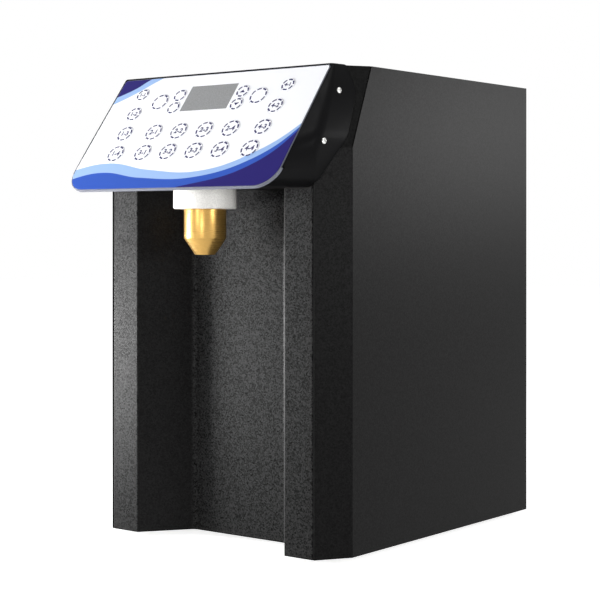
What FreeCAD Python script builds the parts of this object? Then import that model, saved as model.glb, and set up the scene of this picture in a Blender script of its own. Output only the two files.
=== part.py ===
import FreeCAD, Part
import math
import os
from FreeCAD import Placement, Rotation, Vector

# Counter-top fructose dispenser: folded steel casing, moulded control head,
# brass nozzle, syrup tank, gear pump and keys, each piece as its own solid.
# Millimetres. +X is to the right seen from the front, +Y to the back, +Z up.
# While it is built, y is zero on the casing's front flats and z is zero on
# the counter. The finished part is moved so that its box is centred on the
# vertical axis.

# Casing of folded sheet steel
casing_width = 281.0
casing_depth = 333.0
casing_height = 430.0
skin = 1.2
bend_radius = 2.0
seam_gap = 0.3
lap = 12.0
chamfer_width = 19.3
chamfer_depth = 29.8
return_length = 14.0
lean_height = 73.0
lean_back = 28.6
slit_width = 0.8
bay_mouth_width = 176.8
bay_back_width = 111.2
bay_depth = 44.7
bay_corner_radius = 8.0
bay_lap = 13.0
base_thickness = 2.0

# Rubber feet
foot_height = 5.0
foot_radius = 12.0
foot_draft = 1.5
foot_plug_radius = 4.0
foot_plug_length = 5.0
front_foot_x = 105.0
front_foot_y = 46.0
rear_foot_inset = 36.0
plug_gap = 0.1

# Rear panel: vents and screws
vent_length = 58.0
vent_width = 4.0
vent_pitch = 10.0
vent_rows = 8
vent_rise = 250.0
vent_spread = 72.0
screw_radius = 2.0
screw_gap = 0.25
screw_length = 7.0
screw_head_radius = 3.6
screw_head_height = 2.2
screw_slot_width = 1.2
screw_slot_depth = 1.0
rear_screw_margin = 40.0
rear_screw_spread = 45.0

# Control head, a moulded shell in front of the casing
head_height = 109.0
head_rise = 1.0
head_reach = 61.4
panel_top_back = 22.1
head_inset = 3.5
head_wall = 2.5
crown_inset = 9.0
shoulder_drop = 23.0
elbow_height = 41.0
crown_bevel = 1.5
shoulder_bevel = 7.5
elbow_bevel = 15.0
crown_corner_inset = 2.2
shoulder_corner_inset = 6.8
cheek_rear_step = 3.0
under_radius = 8.0
under_steps = 4

# Key panel plate with its printed overlay
plate_border = 13.4
plate_thickness = 3.0
plate_low_radius = 22.0
plate_top_radius = 3.0
plate_seam = 0.8
top_lip = 1.4
overlay_thickness = 0.4
overlay_inset = 1.0
seat_ledge = 8.0
post_radius = 3.0
post_inset = 21.0
post_low = 28.0
post_top_inset = 6.5
post_rows = 3

# Keys: a disc in the overlay, a stem through the plate and a collar behind it.
# Their places are shares of the plate's half width and of its length.
row_low_share = 0.3105
row_pitch_share = 0.178
column_pitch_share = 0.249
outer_column_share = 0.649
outer_step_share = 0.02
wide_key_share = 0.48
wide_key_rise_share = 0.7645
small_key_share = 0.307
small_key_rise_share = 0.7583
print_shift = -1.6
ring_low_radius = 9.3
ring_third_radius = 8.6
ring_second_radius = 8.0
ring_top_radius = 7.0
small_key_gap = 0.5
key_rim = 0.3
key_gap = 0.3
key_proud = 0.35
key_disc_depth = 1.2
key_travel = 0.5
stem_radius = 2.5
collar_key_radius = 4.0
collar_key_height = 0.8
switch_size = 6.0
switch_height = 3.5
plunger_radius = 1.75
plunger_height = 0.8

# Display
window_side_gap = 2.6
window_height = 30.2
window_rise_share = 0.7815
window_thickness = 1.2
window_ledge = 1.5
window_gap = 0.1
module_margin = 5.0
module_depth = 5.0

# Control board
board_thickness = 1.6
board_side_margin = 7.0
board_low = 18.0
board_top_inset = 17.4
chip_size = 14.0
chip_height = 2.0
connector_length = 30.0
connector_width = 6.0
connector_height = 9.0
chip_v = 34.0
connector_x = 60.0

# Nozzle with its drip valve
nozzle_y = -4.0
collar_radius = 28.8
collar_height = 17.7
collar_edge = 1.5
neck_radius = 15.0
neck_length = 8.0
neck_gap = 0.3
feed_bore_radius = 3.0
barb_radius = 4.0
barb_length = 18.0
nozzle_radius = 19.2
nozzle_length = 26.3
nozzle_cone = 15.1
nozzle_tip_radius = 9.4
outlet_radius = 4.5
outlet_length = 8.0
valve_bore_radius = 7.0
thread_radius = 13.0
thread_length = 12.0
thread_gap = 0.1
ball_radius = 5.5
ball_gap = 0.3
spring_radius = 4.3
spring_wire = 0.9
spring_turns = 7

# Syrup tank, jacket, heater, probe and shelf
tank_clearance = 20.5
tank_wall = 1.2
tank_deck_gap = 0.5
neck_inset = 27.0
neck_height = 5.0
deck_gap = 0.8
shelf_thickness = 2.0
shelf_height = 174.0
jacket_thickness = 5.0
jacket_gap = 2.5
heater_thickness = 2.0
heater_height = 60.0
heater_rise = 20.0
outlet_pipe_radius = 7.0
outlet_pipe_bore = 5.0
outlet_pipe_length = 34.0
shelf_hole_gap = 2.0
probe_inset = 29.0
probe_radius = 3.0
probe_reach = 28.0
probe_hex = 12.0
probe_hex_height = 12.0
probe_hole_gap = 2.5
ledge_end_gap = 10.0

# Tank lid and knob
lid_gap = 0.3
lid_side_gap = 0.6
lid_thickness = 1.2
lid_crown = 1.5
lid_skirt = 3.5
knob_radius = 15.0
knob_height = 13.0
knob_waist_radius = 8.0
knob_waist_height = 5.0
knob_edge = 2.5

# Gear pump
gear_teeth = 12
gear_module = 2.0
gear_width = 14.0
pressure_angle = 25.0
addendum_share = 0.8
dedendum_share = 1.1
backlash = 0.35
gear_gap = 0.3
shaft_radius = 4.0
shaft_gap = 0.05
shaft_end = 6.0
coupling_length = 16.0
pump_width = 56.0
pump_height = 48.0
pump_rise = 70.0
pump_back = 10.0
pump_cover_thickness = 8.0
port_radius = 4.0
port_offset = 8.0
suction_barb_length = 18.0
outlet_barb_length = 18.0
foot_length = 56.0
foot_plate = 8.0

# Pump motor
gearbox_radius = 25.0
gearbox_length = 26.0
motor_radius = 22.0
motor_rear_gap = 20.0
terminal_width = 12.0
terminal_length = 8.0
terminal_thickness = 0.8

# Hoses
hose_fit = 0.05
suction_hose_wall = 3.0
suction_hose_inset = 2.0
outlet_hose_wall = 2.0
hose_wall_gap = 12.0
hose_shelf_gap = 5.0
low_bend_radius = 40.0
hose_cover_gap = 0.5

# Power supply
supply_pump_gap = 9.3
supply_length = 129.0
supply_height = 30.0
supply_inset = 6.0
supply_front = 100.0
terminal_block_length = 60.0
terminal_block_width = 12.0
terminal_block_height = 12.0

# Power inlet module with fuse drawer and rocker
inlet_margin = 55.5
inlet_z = 70.0
inlet_flange_width = 32.0
inlet_flange_height = 74.0
inlet_flange_thickness = 2.5
inlet_body_width = 27.0
inlet_body_height = 64.0
inlet_body_depth = 34.0
inlet_gap = 0.3
socket_width = 24.0
socket_height = 16.0
socket_depth = 18.0
socket_drop = 21.0
socket_radius = 3.0
pin_width = 4.0
pin_thickness = 2.0
pin_length = 11.0
pin_pitch = 7.0
pin_offset = 2.0
drawer_width = 22.0
drawer_height = 8.0
drawer_length = 28.0
drawer_drop = 4.0
drawer_gap = 0.3
drawer_notch_width = 10.0
drawer_notch_depth = 3.0
fuse_radius = 2.5
fuse_length = 20.0
rocker_width = 20.0
rocker_height = 13.0
rocker_rise = 16.0
rocker_gap = 0.8
rocker_depth = 8.0
rocker_proud = 2.5
rocker_dish = 2.0
rocker_angle = 8.0
rocker_pin_radius = 1.5
rocker_pin_gap = 0.05
rocker_pin_length = 1.5

# Side screws of the control head
side_screw_head_radius = 2.9
side_screw_head_height = 1.9
side_screw_radius = 1.6
side_screw_length = 7.0
side_screw_seat = 0.8
upper_screw_y = 21.9
upper_screw_drop = 24.4
lower_screw_y = -5.3
lower_screw_drop = 69.6

# One overrun serves all cuts
overrun = 5.0

# Levels and half widths that follow from the sizes above
casing_bottom = foot_height
casing_top = casing_bottom + casing_height
lean_start = casing_top - lean_height
casing_half = casing_width / 2
flat_half = casing_half - chamfer_width
skin_inside = casing_half - skin
head_top = casing_top + head_rise
head_bottom = head_top - head_height
bay_top = head_bottom + bay_lap
base_top = casing_bottom + base_thickness
rear_inside = casing_depth - skin
flange_back = rear_inside - seam_gap
flange_front = flange_back - skin
deck_bottom = casing_top - skin
panel_run = head_reach + panel_top_back
panel_length = math.hypot(panel_run, head_height)
panel_angle = math.atan2(head_height, panel_run)
head_half = casing_half - head_inset
inlet_x = casing_half - inlet_margin
plate_half = head_half - plate_border
plate_length = panel_length - top_lip
plate_back = overlay_thickness + plate_thickness
board_high = plate_length - board_top_inset
key_row_low = row_low_share * plate_length
key_row_pitch = row_pitch_share * plate_length
key_column_pitch = column_pitch_share * plate_half
outer_column_x = outer_column_share * plate_half
outer_column_step = outer_step_share * plate_half
wide_key_x = wide_key_share * plate_half
wide_key_v = wide_key_rise_share * plate_length
small_key_x = small_key_share * plate_half
small_key_v = small_key_rise_share * plate_length
small_key_half_pitch = ring_top_radius + key_rim + small_key_gap / 2
window_v = window_rise_share * plate_length
window_width = 2 * (small_key_x - ring_top_radius - key_rim - window_side_gap)
key_foot = plate_back + key_travel + collar_key_height + key_gap
board_front = key_foot + key_travel + key_gap + plunger_height + switch_height
hose_radius = barb_radius + hose_fit + outlet_hose_wall
hose_y = bay_depth + skin + hose_wall_gap + hose_radius
shelf_front = hose_y + hose_radius + hose_shelf_gap
shelf_back = flange_front - seam_gap
tank_y = (shelf_front + shelf_back) / 2
tank_room = min((shelf_back - shelf_front) / 2, skin_inside)
tank_radius = tank_room - tank_clearance
neck_opening_radius = tank_radius - neck_inset
tank_top = deck_bottom - tank_deck_gap
neck_top = casing_top + neck_height
gear_pitch_radius = gear_module * gear_teeth / 2
gear_tip_radius = gear_pitch_radius + addendum_share * gear_module
gear_root_radius = gear_pitch_radius - dedendum_share * gear_module
cavity_front = tank_y - gear_width / 2 - gear_gap
cavity_back = tank_y + gear_width / 2 + gear_gap
pump_back_face = cavity_back + pump_back
cover_front = cavity_front - pump_cover_thickness
outlet_z = pump_rise - port_offset

parts = {}


def block(x, y, z):
    """A box between two x, two y and two z values."""
    return Part.makeBox(x[1] - x[0], y[1] - y[0], z[1] - z[0], Vector(x[0], y[0], z[0]))


def rod(radius, start, end):
    """A round bar from one point to another."""
    return Part.makeCylinder(radius, end.sub(start).Length, start, end.sub(start))


def cone(start_radius, end_radius, start, end):
    """A tapered round bar from one point to another."""
    along = end.sub(start)
    return Part.makeCone(start_radius, end_radius, along.Length, start, along)


def corner_arc(corner, into, out_of, tangent):
    """The arc that rounds a corner, with equal tangent lengths on both runs."""
    start = corner - into * tangent
    end = corner + out_of * tangent
    turn = into.getAngle(out_of)
    radius = tangent / math.tan(turn / 2)
    bisector = (out_of - into).normalize()
    middle = corner + bisector * (radius / math.cos(turn / 2) - radius)
    return start, middle, end


def rounded_wire(points, radii, closed=True):
    """A wire of straight runs with a tangent arc at each corner that has a radius."""
    count = len(points)
    edges = []
    last = points[0] if not closed else None
    first = None
    for index in range(count):
        point = points[index]
        radius = radii[index]
        is_end = not closed and index in (0, count - 1)
        if is_end or radius == 0:
            start, middle, end = point, None, point
        else:
            into = (point - points[index - 1]).normalize()
            out_of = (points[(index + 1) % count] - point).normalize()
            tangent = radius * math.tan(into.getAngle(out_of) / 2)
            start, middle, end = corner_arc(point, into, out_of, tangent)
        if first is None:
            first = start
        if last is not None and not last.isEqual(start, 0):
            edges.append(Part.makeLine(last, start))
        if middle is not None:
            edges.append(Part.Arc(start, middle, end).toShape())
        last = end
    if closed:
        edges.append(Part.makeLine(last, first))
    return Part.Wire(edges)


def plan(x, y, z=0):
    """A point at a height over the plan."""
    return Vector(x, y, z)


def offset_points(points, distance):
    """An open path moved to its left by a distance, its corners mitred."""
    moved = []
    for index, point in enumerate(points):
        runs = []
        if index > 0:
            runs.append((point - points[index - 1]).normalize())
        if index < len(points) - 1:
            runs.append((points[index + 1] - point).normalize())
        sides = [Vector(-run.y, run.x, 0) for run in runs]
        total = sides[0] + sides[-1]
        moved.append(point + total * (2 * distance / (total.Length * total.Length)))
    return moved


def strip_face(points, radii, thickness):
    """The section of a folded sheet whose outer face follows a path."""
    inner = offset_points(points, thickness)
    inner_radii = []
    for index, radius in enumerate(radii):
        if radius == 0:
            inner_radii.append(0)
            continue
        into = points[index] - points[index - 1]
        out_of = points[index + 1] - points[index]
        turns_left = into.cross(out_of).z > 0
        inner_radii.append(radius - thickness if turns_left else radius + thickness)
    outline = points + inner[::-1]
    return Part.Face(rounded_wire(outline, radii + inner_radii[::-1]))


def lifted(face, low, high):
    """A plan section pulled straight up between two heights."""
    return face.translated(Vector(0, 0, low)).extrude(Vector(0, 0, high - low))


def leaning(face, high=casing_top):
    """A plan section pulled up along the leaning upper front."""
    share = (high - lean_start) / lean_height
    along = Vector(0, lean_back * share, high - lean_start)
    return face.translated(Vector(0, 0, lean_start)).extrude(along)


def side_prism(outline, low_x, high_x):
    """A solid between two x values whose side view is an outline of y and z."""
    wire = Part.makePolygon([Vector(low_x, y, z) for y, z in outline + outline[:1]])
    return Part.Face(wire).extrude(Vector(high_x - low_x, 0, 0))


def mirrored(shape):
    """The same piece for the other side."""
    return shape.mirror(Vector(0, 0, 0), Vector(1, 0, 0))


def joined(shapes):
    """Several overlapping solids as one clean solid."""
    return shapes[0].multiFuse(shapes[1:]).removeSplitter()


def screw(seat, direction, head_radius, head_height, radius, length):
    """A pan-head screw: head outside its seat, shank along the direction."""
    top = seat - direction * head_height
    head = rod(head_radius, seat, top)
    crown = [edge for edge in head.Edges if edge.BoundBox.Center.isEqual(top, head_height / 2)]
    head = head.makeFillet(head_height / 2, crown[:1])
    shank = rod(radius, seat, seat + direction * length)
    across = Rotation(Vector(0, 0, 1), direction)
    slot = block(
        (-head_radius - overrun, head_radius + overrun),
        (-screw_slot_width / 2, screw_slot_width / 2),
        (-head_height - overrun, screw_slot_depth - head_height),
    )
    slot.Placement = Placement(seat, across)
    return joined([head, shank]).cut(slot)


def casing_envelope(gap):
    """The space of the casing, grown by a gap, with the cup bay left out."""
    outer = [
        plan(casing_half, casing_depth),
        plan(casing_half, chamfer_depth),
        plan(flat_half, 0),
        plan(-flat_half, 0),
        plan(-casing_half, chamfer_depth),
        plan(-casing_half, casing_depth),
    ]
    corner = plan(bay_back_width / 2, bay_depth)
    into = (corner - plan(bay_mouth_width / 2, 0)).normalize()
    tangent = bay_corner_radius * math.tan(into.getAngle(Vector(-1, 0, 0)) / 2)
    bay_half = [
        plan(bay_mouth_width / 2, 0),
        corner - into * tangent,
        corner - Vector(tangent, 0, 0),
    ]
    bay = bay_half + [plan(-point.x, point.y) for point in bay_half[::-1]]
    full = offset_points(outer, gap)
    with_bay = offset_points(outer[:3] + bay + outer[3:], gap)
    full_face = Part.Face(Part.makePolygon(full + full[:1]))
    bay_face = Part.Face(Part.makePolygon(with_bay + with_bay[:1]))
    lower = lifted(bay_face, casing_bottom, bay_top)
    middle = lifted(full_face, bay_top, lean_start)
    upper = leaning(full_face, head_top + overrun)
    return joined([lower, middle, upper])


def interior_face(gap):
    """The plan of the casing's inside, a gap away from its outer faces."""
    path = [
        plan(casing_half, casing_depth),
        plan(casing_half, chamfer_depth),
        plan(flat_half, 0),
        plan(bay_mouth_width / 2, 0),
        plan(bay_back_width / 2, bay_depth),
        plan(-bay_back_width / 2, bay_depth),
        plan(-bay_mouth_width / 2, 0),
        plan(-flat_half, 0),
        plan(-casing_half, chamfer_depth),
        plan(-casing_half, casing_depth),
    ]
    inner = offset_points(path, -gap)
    return Part.Face(Part.makePolygon(inner + inner[:1]))


# Front panel: pillars, cup bay and the flanges behind the chamfers
chamfer_length = math.hypot(chamfer_width, chamfer_depth)
chamfer_out = Vector(chamfer_depth, -chamfer_width, 0) / chamfer_length
chamfer_run = Vector(chamfer_width, chamfer_depth, 0) / chamfer_length
return_line = plan(flat_half, 0) - chamfer_out * (skin + seam_gap)
return_corner = return_line - chamfer_run * (return_line.y / chamfer_run.y)
return_end = return_corner + chamfer_run * return_length
right_path = [
    plan(bay_back_width / 2, bay_depth),
    plan(bay_mouth_width / 2, 0),
    return_corner,
    return_end,
]
left_path = [plan(-point.x, point.y) for point in right_path[::-1]]
front_radii = [0, bend_radius, bend_radius, bay_corner_radius]
front_face = strip_face(left_path + right_path, front_radii + front_radii[::-1], skin)
pillar_edge = plan(bay_mouth_width / 2 + 2 * bend_radius, 0)
pillar_face = strip_face([pillar_edge, return_corner, return_end], [0, bend_radius, 0], skin)
bay_lip = block(
    (-bay_back_width / 2 + bay_corner_radius, bay_back_width / 2 - bay_corner_radius),
    (bay_depth + skin / 2, bay_depth + skin + lap),
    (base_top, base_top + skin),
)
right_pillar = joined([lifted(pillar_face, bay_top - skin, lean_start), leaning(pillar_face)])
parts["front_panel"] = joined(
    [lifted(front_face, casing_bottom, bay_top), right_pillar, mirrored(right_pillar), bay_lip]
)

# Side panels: chamfer and side from one sheet, with a relief slit where the front leans
chamfer_end = plan(casing_half, chamfer_depth) - chamfer_run * slit_width
side_face = strip_face(
    [plan(flat_half, 0), plan(casing_half, chamfer_depth), plan(casing_half, casing_depth)],
    [0, bend_radius, 0],
    skin,
)
chamfer_face = strip_face([plan(flat_half, 0), chamfer_end], [0, 0], skin)
slit_y = chamfer_depth + slit_width / 2
upper_side = side_prism(
    [
        (slit_y, lean_start),
        (casing_depth, lean_start),
        (casing_depth, casing_top),
        (slit_y + lean_back, casing_top),
    ],
    skin_inside,
    casing_half,
)
flange_x = (skin_inside - lap, skin_inside + skin / 2)
flange_start = chamfer_depth + lean_back + lap
rear_flange = block(
    flange_x,
    (flange_front, flange_back),
    (base_top + skin, deck_bottom - seam_gap - skin),
)
top_flange = block(flange_x, (flange_start, flange_back), (deck_bottom - skin, deck_bottom))
low_flange = block(flange_x, (flange_start, flange_back), (base_top, base_top + skin))
shelf_ledge = block(
    flange_x,
    (shelf_front + ledge_end_gap, shelf_back - ledge_end_gap),
    (shelf_height - shelf_thickness - skin, shelf_height - shelf_thickness),
)
right_side = joined(
    [
        lifted(side_face, casing_bottom, lean_start),
        leaning(chamfer_face),
        upper_side,
        rear_flange,
        top_flange,
        low_flange,
        shelf_ledge,
    ]
)

# Base plate and rubber feet
inner_clearance = 2 * skin + 2 * seam_gap
base_back = rear_inside - seam_gap
base = lifted(interior_face(inner_clearance), casing_bottom, base_top)
base = base.common(block((-casing_width, casing_width), (-overrun, base_back), (0, casing_height)))
side_reach = skin_inside - seam_gap
base_flange = block(
    (-side_reach + lap + seam_gap, side_reach - lap - seam_gap),
    (base_back - skin, base_back),
    (casing_bottom, base_top + lap),
)
base_wing = block(
    (side_reach - lap, side_reach), (chamfer_depth + lap, base_back), (casing_bottom, base_top)
)
base = joined([base, base_wing, mirrored(base_wing), base_flange])
rear_foot_y = casing_depth - rear_foot_inset
rear_foot_x = casing_half - rear_foot_inset
foot_pairs = ((front_foot_x, front_foot_y), (rear_foot_x, rear_foot_y))
foot_places = [(side * x, y) for side in (-1, 1) for x, y in foot_pairs]
feet = []
for x, y in foot_places:
    pad = cone(foot_radius - foot_draft, foot_radius, Vector(x, y, 0), Vector(x, y, foot_height))
    plug_top = foot_height + foot_plug_length
    plug = rod(foot_plug_radius, Vector(x, y, foot_height), Vector(x, y, plug_top))
    feet.append(joined([pad, plug]))
    hole = rod(foot_plug_radius + plug_gap, Vector(x, y, 0), Vector(x, y, base_top + overrun))
    base = base.cut(hole)
parts["rubber_feet"] = Part.makeCompound(feet)

# Top deck with the hole for the tank's neck
deck_edge = skin + seam_gap
deck_points = offset_points(
    [
        plan(casing_half, casing_depth),
        plan(casing_half, chamfer_depth + lean_back),
        plan(flat_half, lean_back),
        plan(-flat_half, lean_back),
        plan(-casing_half, chamfer_depth + lean_back),
        plan(-casing_half, casing_depth),
    ],
    -(deck_edge + skin),
)
deck_front = Part.Face(Part.makePolygon(deck_points + deck_points[:1]))
deck = lifted(deck_front, deck_bottom, casing_top)
deck_side = block((-side_reach, side_reach), (flange_start, base_back), (deck_bottom, casing_top))
deck_cut = block((-casing_width, casing_width), (-overrun, base_back), (0, casing_top + overrun))
deck_flange = block(
    (-side_reach + lap + seam_gap, side_reach - lap - seam_gap),
    (base_back - skin, base_back),
    (deck_bottom - lap, casing_top),
)
neck_hole = rod(
    neck_opening_radius + deck_gap,
    Vector(0, tank_y, deck_bottom - overrun),
    Vector(0, tank_y, casing_top + overrun),
)
deck = joined([deck.common(deck_cut), deck_side, deck_flange]).cut(neck_hole)

# Rear panel with vents, screw holes and the inlet's cut-out
rear = block(
    (-side_reach, side_reach),
    (rear_inside, casing_depth),
    (casing_bottom, casing_top),
)
through = (rear_inside - overrun, casing_depth + overrun)
for side in (-1, 1):
    for row in range(vent_rows):
        z = vent_rise + row * vent_pitch
        vent = block(
            (side * vent_spread - vent_length / 2, side * vent_spread + vent_length / 2),
            through,
            (z - vent_width / 2, z + vent_width / 2),
        )
        ends = [edge for edge in vent.Edges if edge.BoundBox.YLength > skin]
        rear = rear.cut(vent.makeFillet(vent_width / 2 * (1 - 1 / 64), ends))
inlet_hole = block(
    (inlet_x - inlet_body_width / 2 - inlet_gap, inlet_x + inlet_body_width / 2 + inlet_gap),
    through,
    (inlet_z - inlet_body_height / 2 - inlet_gap, inlet_z + inlet_body_height / 2 + inlet_gap),
)
rear = rear.cut(inlet_hole)
flange_middle = skin_inside - lap / 2
middle_height = (casing_bottom + casing_top) / 2
screw_heights = (casing_bottom + rear_screw_margin, middle_height, casing_top - rear_screw_margin)
side_screws_at = [(side * flange_middle, z) for side in (-1, 1) for z in screw_heights]
level_heights = (base_top + lap / 2, deck_bottom - lap / 2)
level_screws_at = [(side * rear_screw_spread, z) for side in (-1, 1) for z in level_heights]
casing_screws = []
for x, z in side_screws_at + level_screws_at:
    seat = Vector(x, casing_depth, z)
    hole_front = Vector(x, flange_front - overrun, z)
    hole = rod(screw_radius + screw_gap, hole_front, seat + Vector(0, overrun, 0))
    rear = rear.cut(hole)
    base = base.cut(hole)
    deck = deck.cut(hole)
    if abs(x) == flange_middle:
        right_side = right_side.cut(hole)
    inward = Vector(0, -1, 0)
    casing_screws.append(
        screw(seat, inward, screw_head_radius, screw_head_height, screw_radius, screw_length)
    )
parts["rear_panel"] = rear
parts["base_plate"] = base
parts["top_deck"] = deck
parts["right_side_panel"] = right_side
parts["left_side_panel"] = mirrored(right_side)
parts["casing_screws"] = Part.makeCompound(casing_screws)


# Control head shell
def panel_y(z):
    """How far back the sloping panel plane lies at a height."""
    return -head_reach + (z - head_bottom) * panel_run / head_height


def between(low, high, share):
    """A value part of the way from one to another."""
    return low + (high - low) * share


def head_half_plan(z):
    """The right half of the head's plan at a height: front corner, cheek corner and rear point."""
    elbow = head_bottom + elbow_height
    shoulder = head_top - shoulder_drop
    rise = z - head_bottom
    if z < elbow:
        share = rise / elbow_height
        half = between(flat_half, head_half, share)
        corner_x = half
        bevel = between(head_reach, elbow_bevel, share)
    elif z < shoulder:
        share = (z - elbow) / (shoulder - elbow)
        half = head_half
        corner_x = half - between(0, shoulder_corner_inset, share)
        bevel = between(elbow_bevel, shoulder_bevel, share)
    else:
        share = (z - shoulder) / shoulder_drop
        half = between(head_half, head_half - crown_inset, share)
        corner_x = half - between(shoulder_corner_inset, crown_corner_inset, share)
        bevel = between(shoulder_bevel, crown_bevel, share)
    round_in = quarter_inset(under_radius, rise)
    plate_round = plate_low_radius + plate_seam
    plate_in = quarter_inset(plate_round, rise / math.sin(panel_angle) + plate_seam)
    front = panel_y(z)
    lean = max(z - lean_start, 0) * lean_back / lean_height
    rear = lean + (half - flat_half) * chamfer_depth / chamfer_width
    rear = max(rear, front + bevel) + cheek_rear_step
    return [
        plan(plate_half + plate_seam - plate_in - round_in / 2, front, z),
        plan(corner_x - round_in, front + bevel, z),
        plan(half - round_in, rear, z),
    ]


def quarter_inset(radius, rise):
    """How far a quarter round lies inside its full width at a height above its foot."""
    left = max(radius - rise, 0)
    return radius - math.sqrt(radius ** 2 - left ** 2)


def cheek_x(y, z):
    """How far out the cheek lies at a place behind its corner."""
    corner, rear = head_half_plan(z)[1:]
    return between(corner.x, rear.x, (y - corner.y) / (rear.y - corner.y))


def head_section(z, inset, front_inset):
    """The head's plan at a height, drawn in by an inset at the sides and in front."""
    first, corner, rear = head_half_plan(z)
    front = first.y + front_inset
    back = bay_depth + lean_back + overrun
    right = [
        plan(first.x - inset, front, z),
        plan(corner.x - inset, max(corner.y + inset, front), z),
        plan(rear.x - inset, rear.y + inset, z),
        plan(rear.x - inset, back, z),
    ]
    left = [plan(-point.x, point.y, z) for point in right[::-1]]
    return Part.makePolygon(right + left + right[:1])


def head_solid(low, high, inset, front_inset):
    """The head's outer form, or its hollow when there is an inset."""
    levels = [low]
    for step in range(1, under_steps + 1):
        angle = math.pi / 2 * step / under_steps
        level = head_bottom + under_radius * (1 - math.cos(angle))
        if level > low + inset / 2:
            levels.append(level)
    levels += [head_bottom + elbow_height, head_top - shoulder_drop, high]
    sections = [head_section(level, inset, front_inset) for level in levels]
    return Part.makeLoft(sections, True, True)


panel_out = Vector(0, -math.sin(panel_angle), math.cos(panel_angle))
panel_turn = Rotation(Vector(1, 0, 0), math.degrees(panel_angle))
panel_spot = Placement(Vector(0, -head_reach, head_bottom), panel_turn)


def on_panel(shape):
    """A piece drawn flat, put on the sloping panel."""
    placed = shape.copy()
    placed.Placement = panel_spot.multiply(shape.Placement)
    return placed


def panel_outline(grow, low_radius, top_radius):
    """The plate's outline, grown by a length."""
    half = plate_half + grow
    low = -grow
    high = plate_length + grow
    corners = [plan(-half, low), plan(half, low), plan(half, high), plan(-half, high)]
    return Part.Face(rounded_wire(corners, [low_radius, low_radius, top_radius, top_radius]))


def flat_slab(face, low, high):
    """A flat outline given a thickness between two depths on the panel."""
    return face.translated(Vector(0, 0, low)).extrude(Vector(0, 0, high - low))


front_wall = (plate_back + head_wall) / math.sin(panel_angle)
shell = head_solid(head_bottom, head_top, 0, 0)
hollow = head_solid(head_bottom + head_wall, head_top - head_wall, head_wall, front_wall)
seat = flat_slab(panel_outline(plate_seam, plate_low_radius, plate_top_radius), -plate_back, overrun)
mouth_face = panel_outline(-seat_ledge, plate_low_radius, plate_top_radius)
mouth = flat_slab(mouth_face, -plate_back - head_wall - seam_gap, overrun)
shell = shell.cut(hollow).cut(on_panel(seat)).cut(on_panel(mouth)).cut(casing_envelope(seam_gap))
neck_at = Vector(0, nozzle_y, head_bottom)
step = Vector(0, 0, overrun)
shell = shell.cut(rod(neck_radius + neck_gap, neck_at - step, neck_at + step))

side_screws = []
screw_spots = [
    (upper_screw_y, head_top - upper_screw_drop),
    (lower_screw_y, head_top - lower_screw_drop),
]
for side in (-1, 1):
    for y, z in screw_spots:
        seat_at = Vector(side * (cheek_x(y, z) - side_screw_seat), y, z)
        inward = Vector(-side, 0, 0)
        side_screws.append(
            screw(
                seat_at,
                inward,
                side_screw_head_radius,
                side_screw_head_height,
                side_screw_radius,
                side_screw_length,
            )
        )
        pocket = rod(side_screw_head_radius + screw_gap, seat_at, seat_at - inward * overrun)
        hole_end = seat_at + inward * side_screw_length
        hole = rod(side_screw_radius + screw_gap, seat_at - inward * overrun, hole_end)
        shell = shell.cut(pocket).cut(hole)
parts["control_housing"] = shell
parts["side_screws"] = Part.makeCompound(side_screws)

# Keys: where each one sits on the panel, and the radius of its disc
ring_radii = [ring_low_radius, ring_third_radius, ring_second_radius, ring_top_radius]
keys = []
for row in range(len(ring_radii)):
    v = key_row_low + row * key_row_pitch
    for side, column in ((-1, 1), (1, 4)):
        x = side * (outer_column_x + row * outer_column_step)
        name = "key_%d_%d" % (column, len(ring_radii) - row)
        keys.append((name, x + print_shift, v, ring_radii[row]))
for row, name_row in ((0, 3), (1, 2)):
    for column in range(len(ring_radii)):
        x = (column - 3 / 2) * key_column_pitch + print_shift
        v = key_row_low + row * key_row_pitch
        keys.append(("key_%d_%d" % (name_row, column + 1), x, v, ring_low_radius))
low_small = small_key_v - small_key_half_pitch
high_small = small_key_v + small_key_half_pitch
keys += [
    ("key_clean", print_shift - wide_key_x, wide_key_v, ring_low_radius),
    ("key_power", print_shift + wide_key_x, wide_key_v, ring_low_radius),
    ("key_mode", print_shift - small_key_x, high_small, ring_top_radius),
    ("key_set", print_shift - small_key_x, low_small, ring_top_radius),
    ("key_up", print_shift + small_key_x, high_small, ring_top_radius),
    ("key_down", print_shift + small_key_x, low_small, ring_top_radius),
]

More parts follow.
